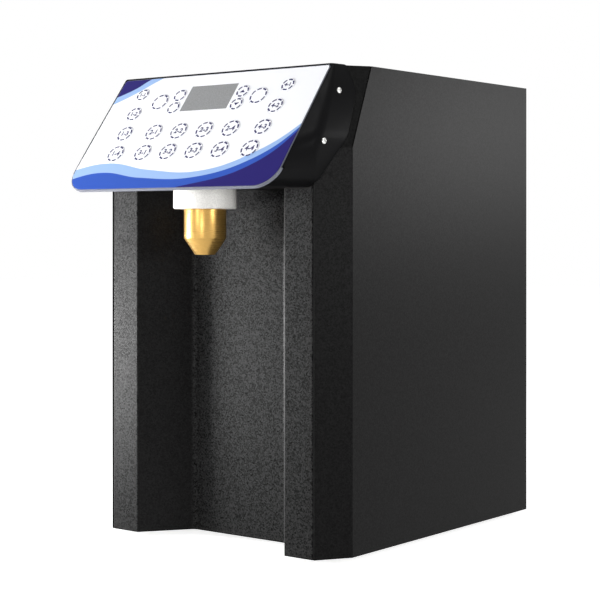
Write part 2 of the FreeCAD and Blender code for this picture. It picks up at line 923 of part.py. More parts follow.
# Panel plate, overlay and display window, with their holes from the same keys
plate = flat_slab(panel_outline(0, plate_low_radius, plate_top_radius), -plate_back, -overlay_thickness)
overlay = flat_slab(
    panel_outline(-overlay_inset, plate_low_radius - overlay_inset, plate_top_radius - overlay_inset),
    -overlay_thickness,
    0,
)
switches = []
for name, x, v, radius in keys:
    disc_radius = radius + key_rim
    recess_low = key_disc_depth + key_travel + key_gap
    disc_hole = rod(disc_radius + key_gap, plan(x, v, -recess_low), plan(x, v, overrun))
    stem_hole = rod(stem_radius + key_gap, plan(x, v, -plate_back - overrun), plan(x, v, overrun))
    plate = plate.cut(disc_hole).cut(stem_hole)
    overlay = overlay.cut(disc_hole)
    disc = rod(disc_radius, plan(x, v, -key_disc_depth), plan(x, v, key_proud))
    rim = [edge for edge in disc.Edges if edge.BoundBox.ZMin > key_proud / 2]
    disc = disc.makeFillet(key_proud, rim[:1])
    stem = rod(stem_radius, plan(x, v, -key_foot), plan(x, v, -key_disc_depth))
    ring_low = -plate_back - key_gap - collar_key_height
    ring = rod(collar_key_radius, plan(x, v, ring_low), plan(x, v, ring_low + collar_key_height))
    parts[name] = on_panel(joined([disc, stem, ring]))
    base_low = -board_front
    body = block(
        (x - switch_size / 2, x + switch_size / 2),
        (v - switch_size / 2, v + switch_size / 2),
        (base_low, base_low + switch_height),
    )
    plunger_top = base_low + switch_height + plunger_height
    plunger = rod(plunger_radius, plan(x, v, base_low + switch_height), plan(x, v, plunger_top))
    switches.append(on_panel(joined([body, plunger])))
parts["key_switches"] = Part.makeCompound(switches)

window_x = (print_shift - window_width / 2, print_shift + window_width / 2)
window_v_span = (window_v - window_height / 2, window_v + window_height / 2)
window_low = -window_thickness - window_gap
window_hole = block(
    (window_x[0] - window_gap, window_x[1] + window_gap),
    (window_v_span[0] - window_gap, window_v_span[1] + window_gap),
    (window_low, overrun),
)
view_hole = block(
    (window_x[0] + window_ledge, window_x[1] - window_ledge),
    (window_v_span[0] + window_ledge, window_v_span[1] - window_ledge),
    (-plate_back - overrun, overrun),
)
plate = plate.cut(window_hole).cut(view_hole)
overlay = overlay.cut(window_hole)
post_x = plate_half - post_inset
post_pitch = (board_high - post_top_inset - post_low) / (post_rows - 1)
for side in (-1, 1):
    for row in range(post_rows):
        v = post_low + row * post_pitch
        post_foot = plan(side * post_x, v, -board_front)
        post = rod(post_radius, post_foot, plan(side * post_x, v, -plate_back))
        plate = joined([plate, post])
parts["panel_plate"] = on_panel(plate)
parts["keypad_overlay"] = on_panel(overlay)
parts["display_window"] = on_panel(block(window_x, window_v_span, (window_low, -window_gap)))
module_top = -plate_back
display_glass = block(
    (window_x[0] - module_margin / 2, window_x[1] + module_margin / 2),
    (window_v_span[0] - module_margin / 2, window_v_span[1] + module_margin / 2),
    (module_top - module_depth / 2, module_top),
)
display_back = block(
    (window_x[0] - module_margin, window_x[1] + module_margin),
    (window_v_span[0] - module_margin, min(window_v_span[1] + module_margin, board_high)),
    (-board_front, module_top - module_depth / 2),
)
parts["display_module"] = on_panel(joined([display_glass, display_back]))

# Control board with its main chip and a connector
board_half = plate_half - seat_ledge - board_side_margin
board_back = -board_front - board_thickness
board = block((-board_half, board_half), (board_low, board_high), (board_back, -board_front))
chip = block(
    (-chip_size / 2, chip_size / 2),
    (chip_v - chip_size, chip_v),
    (board_back - chip_height, board_back),
)
connector = block(
    (-connector_x - connector_length / 2, -connector_x + connector_length / 2),
    (chip_v + chip_size, chip_v + chip_size + connector_width),
    (board_back - connector_height, board_back),
)
parts["control_board"] = on_panel(joined([board, chip, connector]))

# Nozzle collar, brass nozzle, ball and spring
collar_low = head_bottom - collar_height
web_low = collar_low + thread_length + ball_gap
collar = rod(collar_radius, Vector(0, nozzle_y, collar_low), Vector(0, nozzle_y, head_bottom))
collar_rim = [edge for edge in collar.Edges if edge.BoundBox.ZMax < collar_low + collar_edge]
collar = collar.makeFillet(collar_edge, collar_rim)
neck_end = head_bottom + neck_length
barb_end = neck_end + barb_length
collar = joined(
    [
        collar,
        rod(neck_radius, Vector(0, nozzle_y, head_bottom), Vector(0, nozzle_y, neck_end)),
        rod(barb_radius, Vector(0, nozzle_y, neck_end), Vector(0, nozzle_y, barb_end)),
    ]
)
tapping_foot = Vector(0, nozzle_y, collar_low - overrun)
collar = collar.cut(rod(thread_radius + thread_gap, tapping_foot, Vector(0, nozzle_y, web_low)))
parts["nozzle_collar"] = collar.cut(
    rod(feed_bore_radius, Vector(0, nozzle_y, collar_low), Vector(0, nozzle_y, barb_end + overrun))
)
cone_top = collar_low - nozzle_length
tip = cone_top - nozzle_cone
ledge_z = tip + outlet_length
thread_top = Vector(0, nozzle_y, collar_low + thread_length)
nozzle = joined(
    [
        cone(nozzle_tip_radius, nozzle_radius, Vector(0, nozzle_y, tip), Vector(0, nozzle_y, cone_top)),
        rod(nozzle_radius, Vector(0, nozzle_y, cone_top), Vector(0, nozzle_y, collar_low)),
        rod(thread_radius, Vector(0, nozzle_y, collar_low), thread_top),
    ]
)
nozzle = nozzle.cut(rod(outlet_radius, Vector(0, nozzle_y, tip - overrun), Vector(0, nozzle_y, ledge_z)))
nozzle = nozzle.cut(rod(valve_bore_radius, Vector(0, nozzle_y, ledge_z), thread_top))
parts["nozzle_body"] = nozzle
ball_z = web_low - math.sqrt(ball_radius ** 2 - feed_bore_radius ** 2) - ball_gap
parts["valve_ball"] = Part.makeSphere(ball_radius, Vector(0, nozzle_y, ball_z))
wire_radius = spring_wire / 2
spring_reach = math.sqrt((ball_radius + wire_radius + ball_gap) ** 2 - spring_radius ** 2)
spring_top = ball_z - spring_reach
spring_low = ledge_z + wire_radius


def spring_point(turn):
    """A point on the spring's wire after a number of turns."""
    angle = 2 * math.pi * turn
    height = between(spring_low, spring_top, turn / spring_turns)
    return Vector(spring_radius * math.cos(angle), nozzle_y + spring_radius * math.sin(angle), height)


def spring_heading(turn):
    """The wire's direction after a number of turns."""
    angle = 2 * math.pi * turn
    climb = (spring_top - spring_low) / (spring_turns * 2 * math.pi * spring_radius)
    return Vector(-math.sin(angle), math.cos(angle), climb).normalize()


def biarc(start, heading, end, end_heading):
    """Two tangent arcs from one point and direction to another."""
    chord = end - start
    total = heading + end_heading
    first = total.dot(total) - 4
    second = -2 * chord.dot(total)
    last = chord.dot(chord)
    root = math.sqrt(second * second - 4 * first * last)
    reach = (-second - root) / (2 * first)
    corner = start + heading * reach
    end_corner = end - end_heading * reach
    middle = (end_corner - corner).normalize()
    arcs = []
    for apex, into, out_of in ((corner, heading, middle), (end_corner, middle, end_heading)):
        first_point, arc_middle, last_point = corner_arc(apex, into, out_of, reach)
        arcs.append(Part.Arc(first_point, arc_middle, last_point).toShape())
    return arcs


spring_edges = []
for quarter in range(4 * spring_turns):
    now, then = quarter / 4, (quarter + 1) / 4
    arc_start, arc_end = spring_point(now), spring_point(then)
    spring_edges += biarc(arc_start, spring_heading(now), arc_end, spring_heading(then))
wire_section = Part.Wire(Part.makeCircle(wire_radius, spring_point(0), spring_heading(0)))
spring = Part.Wire(spring_edges).makePipeShell([wire_section], True, False)
parts["valve_spring"] = spring
coil_gap = (spring_top - spring_low) / spring_turns - spring_wire
print("spring: least gap between turns %.2f mm" % coil_gap)

# Syrup tank with its neck and outlet pipe
axis_low = Vector(0, tank_y, shelf_height)
axis_top = Vector(0, tank_y, tank_top)
up = Vector(0, 0, 1)
wall_up = up * tank_wall
pipe_low = axis_low - up * outlet_pipe_length
neck_inside = neck_opening_radius - tank_wall
tank = joined(
    [
        rod(tank_radius, axis_low, axis_top),
        rod(neck_opening_radius, axis_low, Vector(0, tank_y, neck_top)),
        rod(outlet_pipe_radius, pipe_low, axis_low + wall_up),
    ]
)
tank = tank.cut(rod(tank_radius - tank_wall, axis_low + wall_up, axis_top - wall_up))
tank = tank.cut(rod(neck_inside, axis_low + wall_up, Vector(0, tank_y, neck_top + overrun)))
tank = tank.cut(rod(outlet_pipe_bore, pipe_low - up * overrun, axis_low + up * overrun))
probe_at = Vector(0, tank_y - tank_radius + probe_inset, 0)
probe_seat = probe_at + up * shelf_height
tank = tank.cut(rod(probe_radius + hose_fit, probe_seat - up * overrun, probe_seat + up * overrun))
parts["syrup_tank"] = tank

# Heater band, foam jacket and temperature probe
heater_low = axis_low + up * heater_rise
heater_inside = tank_radius + hose_fit
heater = rod(heater_inside + heater_thickness, heater_low, heater_low + up * heater_height)
parts["tank_heater"] = heater.cut(rod(heater_inside, heater_low, heater_low + up * heater_height))
jacket_inside = tank_radius + jacket_gap
jacket_top = axis_top - up * jacket_thickness
jacket = rod(jacket_inside + jacket_thickness, axis_low, jacket_top)
parts["tank_jacket"] = jacket.cut(rod(jacket_inside, axis_low, jacket_top))
hex_points = [
    probe_at + Vector(math.cos(math.pi * side / 3), math.sin(math.pi * side / 3), 0) * (probe_hex / 2)
    for side in range(6)
]
hex_face = Part.Face(Part.makePolygon(hex_points + hex_points[:1]))
probe_stem = rod(probe_radius, probe_seat, probe_seat + up * probe_reach)
probe_nut = lifted(hex_face, shelf_height - probe_hex_height, shelf_height)
parts["temperature_probe"] = joined([probe_stem, probe_nut])

# Shelf that carries the tank
shelf = block(
    (-side_reach, side_reach), (shelf_front, shelf_back), (shelf_height - shelf_thickness, shelf_height)
)
shelf_lip = block(
    (-side_reach + lap + seam_gap, side_reach - lap - seam_gap),
    (shelf_front, shelf_front + shelf_thickness),
    (shelf_height - lap, shelf_height),
)
pipe_hole = rod(
    outlet_pipe_radius + shelf_hole_gap, axis_low - up * overrun, axis_low + up * overrun
)
probe_hole = rod(
    probe_hex / 2 + probe_hole_gap, probe_seat - up * overrun, probe_seat + up * overrun
)
parts["tank_shelf"] = joined([shelf, shelf_lip]).cut(pipe_hole).cut(probe_hole)

# Lid and knob
lid_low = neck_top + lid_gap
lid_inside = neck_opening_radius + lid_side_gap
lid_radius = lid_inside + lid_thickness
lid_top = lid_low + lid_thickness
dome_radius = (lid_radius ** 2 + lid_crown ** 2) / (2 * lid_crown)
dome = Part.makeSphere(dome_radius, Vector(0, tank_y, lid_top + lid_crown - dome_radius))
dome = dome.common(rod(lid_radius, Vector(0, tank_y, lid_top), Vector(0, tank_y, lid_top + lid_crown)))
disc = rod(lid_radius, Vector(0, tank_y, lid_low - lid_skirt), Vector(0, tank_y, lid_top))
disc = disc.cut(rod(lid_inside, Vector(0, tank_y, lid_low - lid_skirt), Vector(0, tank_y, lid_low)))
parts["tank_lid"] = joined([disc, dome]).cut(
    rod(screw_radius + screw_gap, Vector(0, tank_y, lid_low), Vector(0, tank_y, lid_top + overrun))
)
knob_low = lid_top + lid_crown
knob_neck = knob_low + knob_waist_height
knob_top = knob_low + knob_height
knob_cap = rod(knob_radius, Vector(0, tank_y, knob_neck), Vector(0, tank_y, knob_top))
knob_rims = [edge for edge in knob_cap.Edges if edge.BoundBox.ZLength < knob_edge]
knob_cap = knob_cap.makeFillet(knob_edge, knob_rims)
knob_stem = rod(knob_waist_radius, Vector(0, tank_y, knob_low), Vector(0, tank_y, knob_neck + knob_edge))
knob_stud = rod(screw_radius, Vector(0, tank_y, lid_low), Vector(0, tank_y, knob_neck))
parts["lid_knob"] = joined([knob_cap, knob_stem, knob_stud])


# Gear pump
def involute(base_radius, radius):
    """The angle that an involute has turned when it reaches a radius."""
    roll = math.sqrt((radius / base_radius) ** 2 - 1)
    return roll - math.atan(roll)


def gear_outline(phase):
    """A gear's outline in the x and z plane, a tooth at the phase angle."""
    base_radius = gear_pitch_radius * math.cos(math.radians(pressure_angle))
    half_tooth = (math.pi * gear_module - backlash) / (4 * gear_pitch_radius)
    half_tooth += involute(base_radius, gear_pitch_radius)
    steps = 6
    radii = [between(base_radius, gear_tip_radius, step / steps) for step in range(steps + 1)]
    flank = [(radius, half_tooth - involute(base_radius, radius)) for radius in radii]
    flank = [(gear_root_radius, flank[0][1])] + flank
    edges = []
    last = None
    first = None
    for tooth in range(gear_teeth):
        middle = phase + 2 * math.pi * tooth / gear_teeth
        rising = [(radius, middle - angle) for radius, angle in flank]
        falling = [(radius, middle + angle) for radius, angle in flank[::-1]]
        points = [
            Vector(radius * math.cos(angle), 0, radius * math.sin(angle))
            for radius, angle in rising + falling
        ]
        if last is not None:
            edges.append(Part.makeLine(last, points[0]))
        else:
            first = points[0]
        up_curve = Part.BSplineCurve()
        up_curve.interpolate(points[1 : steps + 2])
        down_curve = Part.BSplineCurve()
        down_curve.interpolate(points[steps + 2 : -1])
        edges.append(Part.makeLine(points[0], points[1]))
        edges.append(up_curve.toShape())
        edges.append(Part.makeLine(points[steps + 1], points[steps + 2]))
        edges.append(down_curve.toShape())
        edges.append(Part.makeLine(points[-2], points[-1]))
        last = points[-1]
    edges.append(Part.makeLine(last, first))
    return Part.Face(Part.Wire(edges))


drive_at = Vector(gear_pitch_radius, tank_y, pump_rise)
driven_at = Vector(-gear_pitch_radius, tank_y, pump_rise)
back = Vector(0, 1, 0)
half_gear = back * (gear_width / 2)
shaft_front = back * (gear_width / 2 + gear_gap + shaft_end)
half_tooth_step = math.pi / gear_teeth


def gear(at, phase, back_reach):
    """A gear with its shaft, the shaft reaching back by a length."""
    wheel = gear_outline(phase).translated(at - half_gear).extrude(back * gear_width)
    shaft = rod(shaft_radius, at - shaft_front, at + back * back_reach)
    return joined([wheel, shaft])


coupling_reach = pump_back_face - tank_y + coupling_length
parts["drive_gear"] = gear(drive_at, math.pi, coupling_reach)
parts["driven_gear"] = gear(driven_at, half_tooth_step, gear_width / 2 + gear_gap + shaft_end)

pump_x = (-pump_width / 2, pump_width / 2)
pump_low = pump_rise - pump_height / 2
pump_high = pump_rise + pump_height / 2
pump = block(pump_x, (cavity_front, pump_back_face), (pump_low, pump_high))
pump_web = block(pump_x, (cavity_back, pump_back_face), (base_top, pump_low + overrun))
pump_foot = block(
    pump_x,
    (pump_back_face - foot_length, pump_back_face),
    (base_top, base_top + foot_plate),
)
suction_top = Vector(0, tank_y, pump_high + suction_barb_length)
suction_barb = rod(outlet_pipe_radius, Vector(0, tank_y, pump_high - overrun), suction_top)
pump = joined([pump, pump_web, pump_foot, suction_barb])
for at in (drive_at, driven_at):
    front_at = Vector(at.x, cavity_front - overrun, at.z)
    back_at = Vector(at.x, cavity_back, at.z)
    pump = pump.cut(rod(gear_tip_radius + gear_gap, front_at, back_at))
suction_pocket = Vector(0, cavity_front, pump_rise + port_offset)
outlet_pocket = Vector(0, cavity_front, outlet_z)
for pocket in (suction_pocket, outlet_pocket):
    pump = pump.cut(rod(port_radius, pocket, Vector(pocket.x, cavity_back, pocket.z)))
suction_floor = Vector(0, tank_y, pump_rise + port_offset)
pump = pump.cut(rod(outlet_pipe_bore, suction_floor, suction_top + up * overrun))
bearing_radius = shaft_radius + shaft_gap
bearing_end = Vector(drive_at.x, pump_back_face + overrun, drive_at.z)
pump = pump.cut(rod(bearing_radius, drive_at, bearing_end))
blind_end = back * (gear_width / 2 + gear_gap + shaft_end + gear_gap)
parts["pump_body"] = pump.cut(rod(bearing_radius, driven_at, driven_at + blind_end))

outlet_at = Vector(0, cover_front, outlet_z)
cover = joined(
    [
        block(pump_x, (cover_front, cavity_front), (pump_low, pump_high)),
        rod(barb_radius, outlet_at + back * overrun, outlet_at - back * outlet_barb_length),
    ]
)
for at in (drive_at, driven_at):
    cover = cover.cut(rod(bearing_radius, at, at - blind_end))
port_back = outlet_at + back * (pump_cover_thickness + overrun)
parts["pump_cover"] = cover.cut(rod(feed_bore_radius, port_back, outlet_at - back * pump_width))

# Pump motor with its gearbox, whose hollow output takes the drive shaft
gearbox_front = Vector(drive_at.x, pump_back_face, pump_rise)
gearbox_back = gearbox_front + back * gearbox_length
motor_length = rear_inside - motor_rear_gap - terminal_length - gearbox_back.y
motor_back = gearbox_back + back * motor_length
motor = joined(
    [
        rod(gearbox_radius, gearbox_front, gearbox_back),
        rod(motor_radius, gearbox_back - back * overrun, motor_back),
    ]
)
for side in (-1, 1):
    middle = motor_back.x + side * motor_radius / 2
    tab = block(
        (middle - terminal_thickness / 2, middle + terminal_thickness / 2),
        (motor_back.y - terminal_length, motor_back.y + terminal_length),
        (pump_rise - terminal_width / 4, pump_rise + terminal_width / 4),
    )
    motor = joined([motor, tab])
parts["pump_motor"] = motor.cut(
    rod(bearing_radius, gearbox_front, gearbox_front + back * (coupling_length + gear_gap))
)


# Hoses
def hose(points, radii, inner_radius, wall):
    """A hose along straight runs and tangent arcs, checked against its section times its length."""
    route = rounded_wire(points, radii, closed=False)
    heading = (points[1] - points[0]).normalize()
    skins = []
    for radius in (inner_radius + wall, inner_radius):
        section = Part.Wire(Part.makeCircle(radius, points[0], heading))
        skins.append(route.makePipeShell([section], True, False))
    tube = skins[0].cut(skins[1])
    expected = math.pi * ((inner_radius + wall) ** 2 - inner_radius ** 2) * route.Length
    share = tube.Volume / expected
    print("hose: length %.1f mm, radii %s, volume share %.4f" % (route.Length, radii, share))
    return tube


suction_low = Vector(0, tank_y, pump_high + suction_hose_inset)
suction_high = Vector(0, tank_y, shelf_height - shelf_thickness - suction_hose_inset)
parts["suction_hose"] = hose(
    [suction_low, suction_high], [0, 0], outlet_pipe_radius + hose_fit, suction_hose_wall
)
top_bend_radius = (hose_y - nozzle_y) / 2 * (1 - 1 / 64)
hose_end = Vector(0, nozzle_y, neck_end + hose_cover_gap)
top_run = barb_end + (hose_y - nozzle_y) / 2
parts["outlet_hose"] = hose(
    [
        outlet_at - back * hose_cover_gap,
        Vector(0, hose_y, outlet_z),
        Vector(0, hose_y, top_run),
        Vector(0, nozzle_y, top_run),
        hose_end,
    ],
    [0, low_bend_radius, top_bend_radius, top_bend_radius, 0],
    barb_radius + hose_fit,
    outlet_hose_wall,
)

# Power supply on the base plate
supply_left = -skin_inside + lap + supply_inset
supply_x = (supply_left, pump_x[0] - supply_pump_gap)
supply = block(
    supply_x,
    (supply_front, supply_front + supply_length),
    (base_top, base_top + supply_height),
)
terminal_cut = block(
    (supply_x[0] + supply_inset, supply_x[0] + supply_inset + terminal_block_length),
    (supply_front - overrun, supply_front + terminal_block_width),
    (base_top + terminal_block_height, base_top + supply_height + overrun),
)
parts["power_supply"] = supply.cut(terminal_cut)

# Power inlet module: flange, body, socket with pins, drawer slot and rocker well
inlet_back = casing_depth + inlet_flange_thickness
inlet_flange = block(
    (inlet_x - inlet_flange_width / 2, inlet_x + inlet_flange_width / 2),
    (casing_depth, inlet_back),
    (inlet_z - inlet_flange_height / 2, inlet_z + inlet_flange_height / 2),
)
upright = [edge for edge in inlet_flange.Edges if edge.BoundBox.YLength > inlet_flange_thickness / 2]
inlet_flange = inlet_flange.makeFillet(socket_radius, upright)
inlet = joined(
    [
        inlet_flange,
        block(
            (inlet_x - inlet_body_width / 2, inlet_x + inlet_body_width / 2),
            (inlet_back - inlet_body_depth, casing_depth + inlet_flange_thickness / 2),
            (inlet_z - inlet_body_height / 2, inlet_z + inlet_body_height / 2),
        ),
    ]
)


def inlet_block(width, height, z, depth, gap):
    """A block let into the module's face, centred on its width."""
    return block(
        (inlet_x - width / 2 - gap, inlet_x + width / 2 + gap),
        (inlet_back - depth - gap, inlet_back + overrun),
        (z - height / 2 - gap, z + height / 2 + gap),
    )


socket_z = inlet_z - socket_drop
socket = inlet_block(socket_width, socket_height, socket_z, socket_depth, 0)
socket_edges = [edge for edge in socket.Edges if edge.BoundBox.YLength > socket_depth / 2]
inlet = inlet.cut(socket.makeFillet(socket_radius, socket_edges))
socket_floor = inlet_back - socket_depth
for place in (-1, 0, 1):
    pin_z = socket_z + (pin_offset if place == 0 else -pin_offset)
    pin_x = inlet_x + place * pin_pitch
    pin = block(
        (pin_x - pin_thickness / 2, pin_x + pin_thickness / 2),
        (socket_floor - pin_thickness, socket_floor + pin_length),
        (pin_z - pin_width / 2, pin_z + pin_width / 2),
    )
    inlet = joined([inlet, pin])
drawer_z = inlet_z - drawer_drop
rocker_z = inlet_z + rocker_rise
inlet = inlet.cut(inlet_block(drawer_width, drawer_height, drawer_z, drawer_length, drawer_gap))
well_depth = rocker_depth + rocker_gap
inlet = inlet.cut(inlet_block(rocker_width, rocker_height, rocker_z, well_depth, rocker_gap))
pivot_y = inlet_back - rocker_depth / 2
pivot = Vector(inlet_x, pivot_y, rocker_z)
pin_reach = rocker_width / 2 + rocker_pin_length
sideways = Vector(1, 0, 0)
inlet = inlet.cut(
    rod(
        rocker_pin_radius + rocker_pin_gap,
        pivot - sideways * (pin_reach + rocker_gap),
        pivot + sideways * (pin_reach + rocker_gap),
    )
)
parts["power_inlet"] = inlet

# Fuse drawer with a finger notch and its fuse
drawer_face = inlet_back
drawer = block(
    (inlet_x - drawer_width / 2, inlet_x + drawer_width / 2),
    (drawer_face - drawer_length, drawer_face),
    (drawer_z - drawer_height / 2, drawer_z + drawer_height / 2),
)
drawer = drawer.cut(
    block(
        (inlet_x - drawer_notch_width / 2, inlet_x + drawer_notch_width / 2),
        (drawer_face - drawer_notch_depth, drawer_face + overrun),
        (drawer_z - drawer_height / 2 - overrun, drawer_z - drawer_height / 4),
    )
)
fuse_start = drawer_face - drawer_length + drawer_notch_depth
fuse_front = Vector(inlet_x, fuse_start, drawer_z + drawer_height / 2)
drawer = drawer.cut(rod(fuse_radius, fuse_front, fuse_front + back * fuse_length))
parts["fuse_drawer"] = drawer

# Rocker: a paddle with a dished face, stored tipped to its off side
rocker_half = rocker_height / 2
rocker_face = rocker_depth / 2 + rocker_proud
rocker_outline = [
    (pivot_y - rocker_depth / 2 + rocker_gap, rocker_z - rocker_half / 2),
    (pivot_y - rocker_depth / 2 + rocker_gap, rocker_z + rocker_half / 2),
    (pivot_y, rocker_z + rocker_half),
    (pivot_y + rocker_face, rocker_z + rocker_half),
    (pivot_y + rocker_face - rocker_dish, rocker_z),
    (pivot_y + rocker_face, rocker_z - rocker_half),
    (pivot_y, rocker_z - rocker_half),
]
paddle = side_prism(rocker_outline, inlet_x - rocker_width / 2, inlet_x + rocker_width / 2)
rocker_pin = rod(rocker_pin_radius, pivot - sideways * pin_reach, pivot + sideways * pin_reach)
rocker = joined([paddle, rocker_pin])
parts["power_rocker"] = rocker.rotated(pivot, sideways, -rocker_angle)

# Centre the finished part's box on the vertical axis and write each piece
whole = Part.makeCompound(list(parts.values())).optimalBoundingBox()
shift = Vector(-(whole.XMin + whole.XMax) / 2, -(whole.YMin + whole.YMax) / 2, 0)
os.makedirs("parts", exist_ok=True)
for name, shape in parts.items():
    placed = shape.translated(shift)
    placed.exportStep("parts/%s.step" % name)
    sound = all(solid.isValid() for solid in placed.Solids)
    print("%-18s solids %2d valid %s volume %.0f" % (name, len(placed.Solids), sound, placed.Volume))
print("parts %d, size %.1f %.1f %.1f" % (len(parts), whole.XLength, whole.YLength, whole.ZMax))
places = {
    "front flats": Vector(0, 0, casing_bottom),
    "rocker pivot": pivot,
    "drive gear": drive_at,
    "driven gear": driven_at,
    "nozzle tip": Vector(0, nozzle_y, tip),
    "tank axis": Vector(0, tank_y, shelf_height),
    "spring foot": Vector(0, nozzle_y, ledge_z),
    "inlet face": Vector(inlet_x, inlet_back, socket_z),
}
for name, place in places.items():
    print("%-14s %s" % (name, place + shift))
print("panel outward  %s" % panel_out)
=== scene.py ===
"""The looks of a counter-top syrup dispenser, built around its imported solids.

A folded steel casing with a cup bay carries a moulded control head. The head
holds a sloping key panel and, under it, a brass nozzle in a white collar. A
syrup tank with a lift-off lid, a gear pump and a power supply are inside.
Sizes are in millimetres here and turned to metres when a mesh is made.
"""

import logging
import math
from collections.abc import Callable, Iterable, Sequence
from dataclasses import dataclass, field, replace
from enum import Enum

import bmesh
import bpy
from mathutils import Matrix, Vector


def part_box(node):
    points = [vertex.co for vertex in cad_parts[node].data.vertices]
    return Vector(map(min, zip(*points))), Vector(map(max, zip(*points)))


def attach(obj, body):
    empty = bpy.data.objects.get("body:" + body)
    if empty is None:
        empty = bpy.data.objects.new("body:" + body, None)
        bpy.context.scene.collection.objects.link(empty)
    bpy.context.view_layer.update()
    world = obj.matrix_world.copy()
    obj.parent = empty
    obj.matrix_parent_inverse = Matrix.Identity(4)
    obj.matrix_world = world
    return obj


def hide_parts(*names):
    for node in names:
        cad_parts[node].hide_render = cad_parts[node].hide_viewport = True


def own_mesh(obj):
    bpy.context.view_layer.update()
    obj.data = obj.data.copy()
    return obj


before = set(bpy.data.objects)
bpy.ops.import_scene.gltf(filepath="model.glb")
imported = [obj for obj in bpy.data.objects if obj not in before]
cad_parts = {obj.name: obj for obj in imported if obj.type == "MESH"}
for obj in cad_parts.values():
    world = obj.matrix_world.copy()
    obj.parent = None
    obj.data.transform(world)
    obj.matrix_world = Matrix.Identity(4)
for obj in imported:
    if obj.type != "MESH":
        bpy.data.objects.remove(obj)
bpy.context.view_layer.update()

log = logging.getLogger("dispenser")

MM = 0.001
WELD = 0.01 * MM
CASING = "casing"
# Nearly all of a noise lies between these two values.
NOISE_REACH = (0.3, 0.7)
# A rounding takes at most this share of the lines beside it.
ROUNDING_SHARE = 0.48

Colour = tuple[float, float, float, float]
Point = tuple[float, float]
Place = tuple[float, float, float]
Tree = bpy.types.NodeTree
Node = bpy.types.Node
Socket = bpy.types.NodeSocket
Shape = bmesh.types.BMesh


class Tone(Enum):
    """The colours of the object, as they look on a screen."""

    COAT_BLACK = "#121212"
    HEAD_BLACK = "#101011"
    INLET_BLACK = "#1a1a1b"
    RUBBER_BLACK = "#1f1f20"
    PHENOLIC_BLACK = "#141414"
    FOAM_GREY = "#4a4b4e"
    PLATE_GREY = "#6b6e7a"
    WINDOW_GREY = "#909192"
    FILM_WHITE = "#f6f7fb"
    ACETAL_WHITE = "#f9f7f2"
    LIGHT_BLUE = "#9bb9e6"
    MID_BLUE = "#3457b4"
    NAVY = "#272069"
    INK = "#1d1752"
    BRASS = "#b8924e"
    STEEL = "#c9cacb"
    NICKEL = "#dededc"
    ZINC = "#b4b7ba"
    ALUMINIUM = "#c4c6c8"
    SILICONE = "#dcdcd2"
    HEATER_RED = "#b4552c"
    BOARD_GREEN = "#1d6b3c"
    MODULE_BLACK = "#161617"
    MARK_WHITE = "#e6e6e4"
    FLOOR_WHITE = "#f2f2f2"


def linear(tone: Tone) -> Colour:
    """Turns a screen colour into the linear colour that shaders use.

    Args:
        tone: The colour, as an sRGB hex code.

    Returns:
        Red, green, blue and alpha in linear light.
    """
    code = tone.value.lstrip("#")
    channels = [int(code[i : i + 2], 16) / 255 for i in (0, 2, 4)]
    light = [c / 12.92 if c <= 0.04045 else ((c + 0.055) / 1.055) ** 2.4 for c in channels]
    return (light[0], light[1], light[2], 1.0)


def set_inputs(node: Node, values: dict[str, object]) -> None:
    """Sets a node's inputs by their names."""
    for name, value in values.items():
        node.inputs[name].default_value = value


def add_node(
    tree: Tree,
    kind: str,
    settings: dict[str | int, object] | None = None,
    links: dict[str | int, Socket] | None = None,
) -> Node:
    """Adds a shader node with its settings and its links.

    Args:
        tree: The node tree.
        kind: The node's type name after "ShaderNode".
        settings: Input values by name or number, or the node's own properties.
        links: The output socket that feeds each input.

    Returns:
        The new node.
    """
    node = tree.nodes.new("ShaderNode" + kind)
    for key, value in (settings or {}).items():
        if isinstance(key, int) or key in node.inputs:
            node.inputs[key].default_value = value
        else:
            setattr(node, key, value)
    for key, source in (links or {}).items():
        tree.links.new(source, node.inputs[key])
    return node


